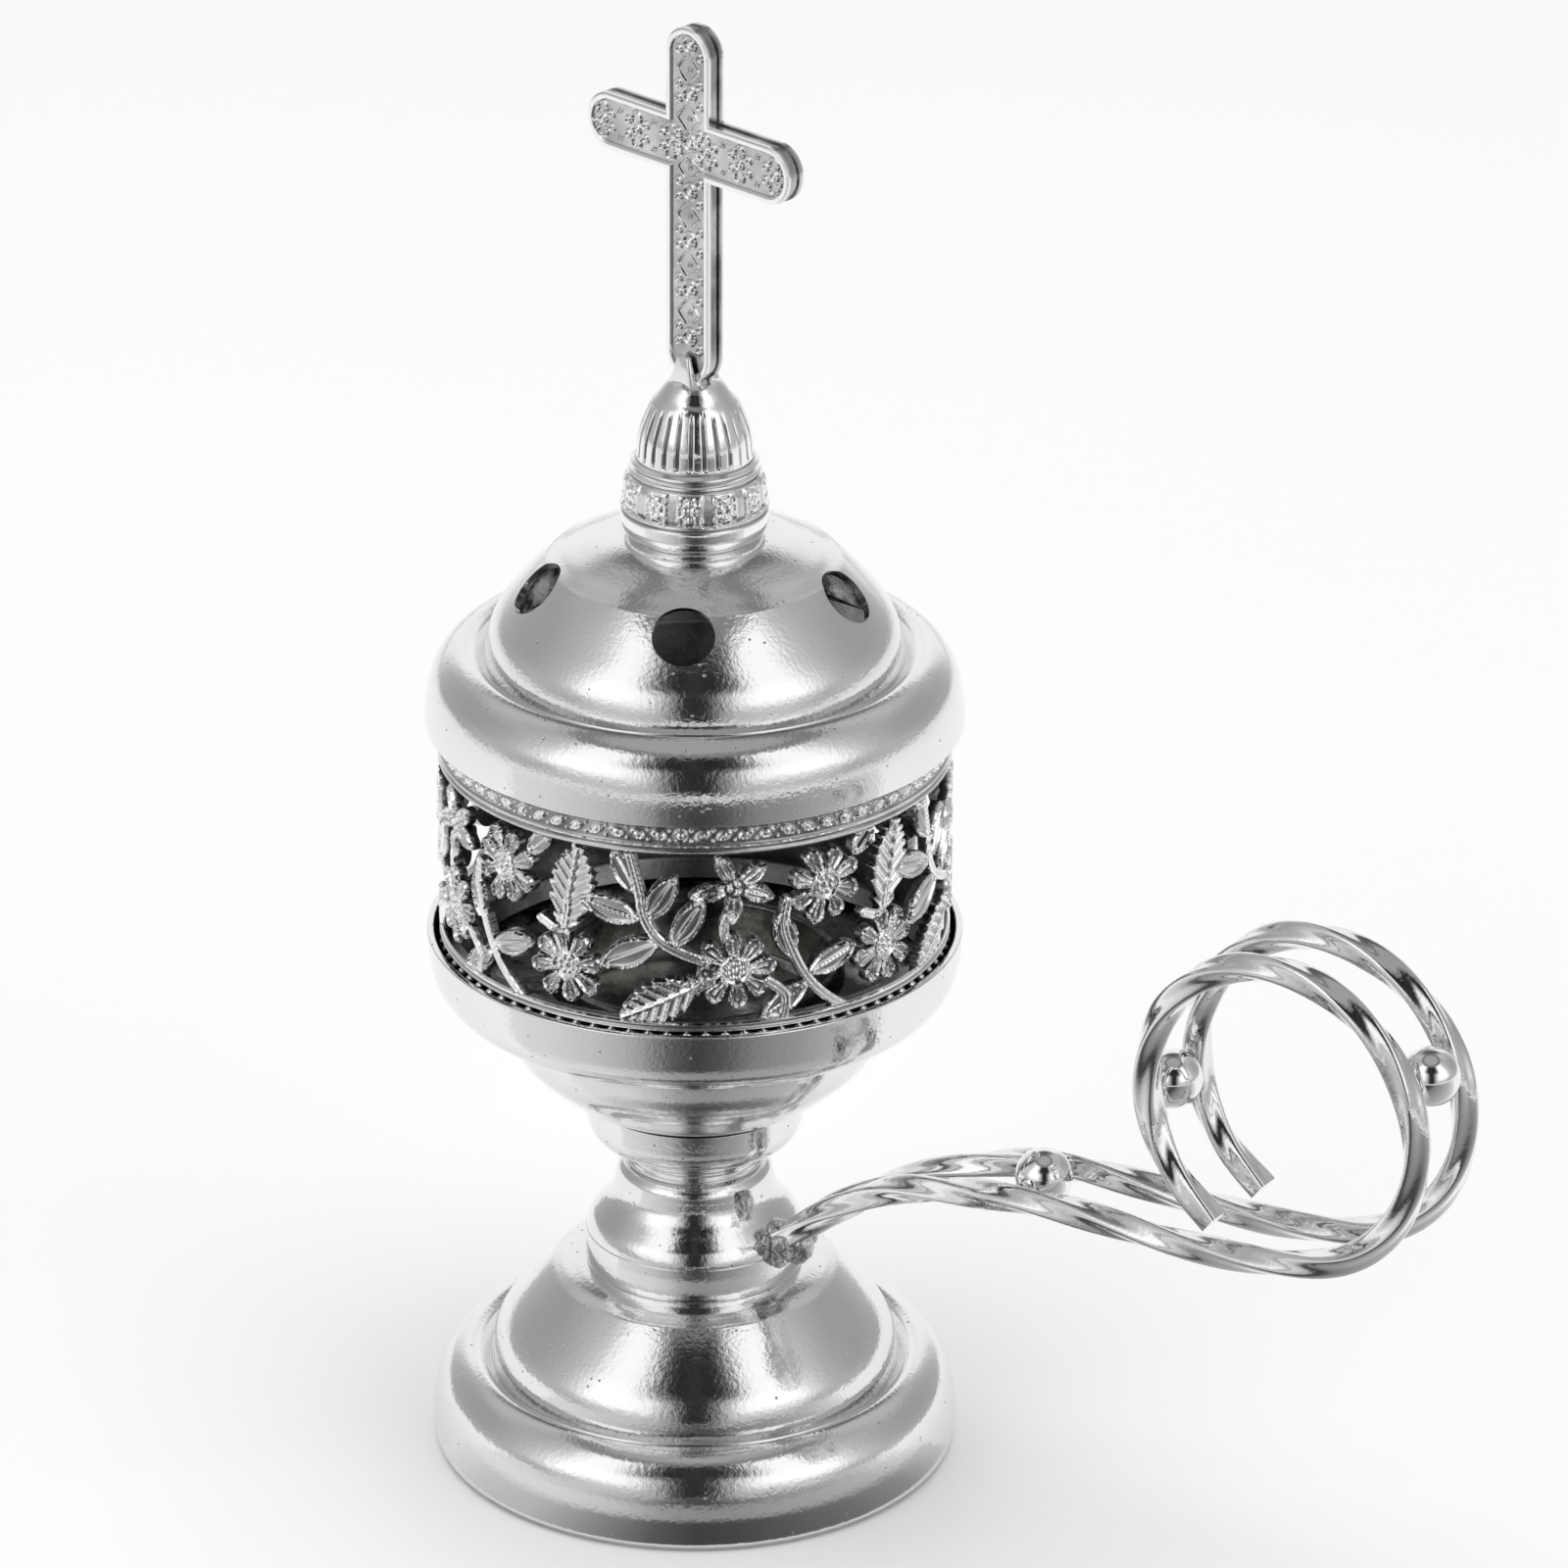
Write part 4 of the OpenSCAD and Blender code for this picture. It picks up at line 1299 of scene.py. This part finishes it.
def build_light():
    world = bpy.data.worlds.new("studio")
    bpy.context.scene.world = world
    m = Nodes("studio", world)

    def by_angle(angle, stops):
        """Brightness by angle, from a list of (degrees, brightness)."""
        curve_node = m.add("ShaderNodeFloatCurve")
        line = curve_node.mapping.curves[0]
        spots = [(a / 180, b / 2) for a, b in stops] + [(1.0, stops[-1][1] / 2)]
        line.points[0].location = spots[0]
        line.points[1].location = spots[-1]
        for spot in spots[1:-1]:
            line.points.new(*spot)
        curve_node.mapping.update()
        m.link(m.math("DIVIDE", angle, 180.0), curve_node.inputs["Value"])
        return m.math("MULTIPLY", curve_node.outputs["Value"], 2.0)

    def blend(lows, highs, below, above):
        """Goes from one brightness to another between two elevations."""
        factor = m.ramp(elevation, lows, highs, kind="SMOOTHSTEP")
        below = m.math("MULTIPLY", m.math("SUBTRACT", 1.0, factor), below)
        return m.math("ADD", below, m.math("MULTIPLY", factor, above))

    turn = m.add("ShaderNodeVectorRotate", rotation_type="Z_AXIS")
    turn.inputs["Angle"].default_value = -math.radians(FRONT)
    m.link(m.add("ShaderNodeTexCoord").outputs["Generated"], turn.inputs["Vector"])
    split = m.add("ShaderNodeSeparateXYZ")
    m.link(turn.outputs["Vector"], split.inputs["Vector"])
    x, y, z = (split.outputs[k] for k in "XYZ")
    away = m.math("ABSOLUTE", m.math("MULTIPLY", m.math("ARCTAN2", y, x), 180 / math.pi))
    elevation = m.math("MULTIPLY", m.math("ARCSINE", z), 180 / math.pi)

    level = blend(2, 16, by_angle(away, HORIZON), by_angle(away, LOW_SKY))
    level = blend(28, 42, level, by_angle(away, HIGH_SKY))
    level = blend(58, 63, level, BOX_TOP)
    level = blend(66, 72, level, OVERHEAD)
    background = m.tree.nodes["Background"]
    m.link(level, background.inputs["Strength"])
    background.inputs["Color"].default_value = (1, 1, 1, 1)

    # A wide lamp above that reflections don't show, so that the floor is white however dim the walls are.
    data = bpy.data.lights.new("floor_lamp", "AREA")
    data.shape = "DISK"
    data.size = 2.4
    data.energy = 37
    lamp = bpy.data.objects.new("floor_lamp", data)
    lamp.location = (0, 0, 2.2)
    lamp.visible_glossy = False
    bpy.context.scene.collection.objects.link(lamp)


# A card on the floor in front that only reflections show: its brightness against the angle round from the
# front, in three zones by distance. The values were set one by one.
CARD_ANGLES = [-80, -60, -42, -24, -10, 0, 10, 24, 42, 60, 80]
CARD_NEAR = [0.80, 0.62, 0.52, 0.26, 0.11, 0.06, 0.07, 0.11, 0.17, 0.28, 0.60]
CARD_MIDDLE = [0.85, 0.80, 0.75, 0.58, 0.36, 0.30, 0.30, 0.36, 0.42, 0.50, 0.80]
CARD_FAR = [0.80, 0.72, 0.60, 0.42, 0.12, 0.05, 0.09, 0.24, 0.34, 0.48, 0.80]
CARD_RINGS = [
    (RIM_R + 0.8, CARD_NEAR), (44, CARD_NEAR), (50, CARD_MIDDLE), (74, CARD_MIDDLE), (82, CARD_FAR),
    (900, CARD_FAR),
]


def build_card():
    """The card, a flat grid of rings with a shade at each vertex. It glows as a painted reflection, and paints
    shade into what the metal's undersides reflect.
    """
    angles = np.arange(-80, 80.1, 2.5)
    a, r = np.meshgrid(np.radians(angles + FRONT), [reach for reach, _ in CARD_RINGS], indexing="ij")
    co = np.stack([r * np.cos(a), r * np.sin(a), np.full(a.shape, 0.05)], -1).reshape(-1, 3)
    rings = len(CARD_RINGS)
    start = (np.arange(len(angles) - 1)[:, None] * rings + np.arange(rings - 1)[None, :]).ravel()
    quads = np.stack([start, start + 1, start + 1 + rings, start + rings], -1)
    mesh = make_mesh("painted_reflection_card", co * MM, [quads])
    shade = np.stack([np.interp(angles, CARD_ANGLES, zone) for _, zone in CARD_RINGS], 1)
    give_values(mesh, "shade", shade)
    card = bpy.data.objects.new("painted_reflection_card", mesh)
    bpy.context.scene.collection.objects.link(card)
    m = Nodes("painted_reflection_card")
    m.tree.nodes.remove(m.shader)
    # Painted reflection: the card glows with its own shade and is seen only in the metal.
    glow = m.add("ShaderNodeEmission")
    m.link(m.add("ShaderNodeAttribute", attribute_name="shade").outputs["Fac"], glow.inputs["Strength"])
    m.link(glow.outputs[0], m.tree.nodes["Material Output"].inputs["Surface"])
    mesh.materials.append(m.owner)
    card.visible_camera = False
    card.visible_diffuse = False
    card.visible_shadow = False
    card.visible_transmission = False


def build_camera():
    data = bpy.data.cameras.new("camera")
    camera = bpy.data.objects.new("camera", data)
    bpy.context.scene.collection.objects.link(camera)
    bpy.context.scene.camera = camera
    data.lens = 200
    data.sensor_width = 36
    data.shift_x = 0.0569
    data.clip_end = 50
    a, e = math.radians(VIEW_AZIMUTH), math.radians(VIEW_ELEVATION)
    back = Vector((math.sin(a) * math.cos(e), -math.cos(a) * math.cos(e), math.sin(e)))
    target = Vector((0, 0, 0.0893))
    camera.location = target + back * 1.068
    camera.rotation_euler = (-back).to_track_quat("-Z", "Y").to_euler()


build_camera()
build_light()
build_floor()
build_card()
build_foot()
build_stem()
build_bowl()
build_pan()
build_lid()
build_band()
build_finial()
build_cross()
build_wire("handle_wire_left_twist", 1)
build_wire("handle_wire_right_twist", -1)
for ball in ("handle_ball_inner", "handle_ball_middle", "handle_ball_outer"):
    build_ball(ball)
build_solder()
finish_hardware()
bpy.context.scene.view_settings.view_transform = "Standard"


def write_sizes():
    """Defines a helper that turns a box into plain numbers, and writes nothing."""

    def plain(box):
        return [[float(v) for v in corner] for corner in box]


write_sizes()
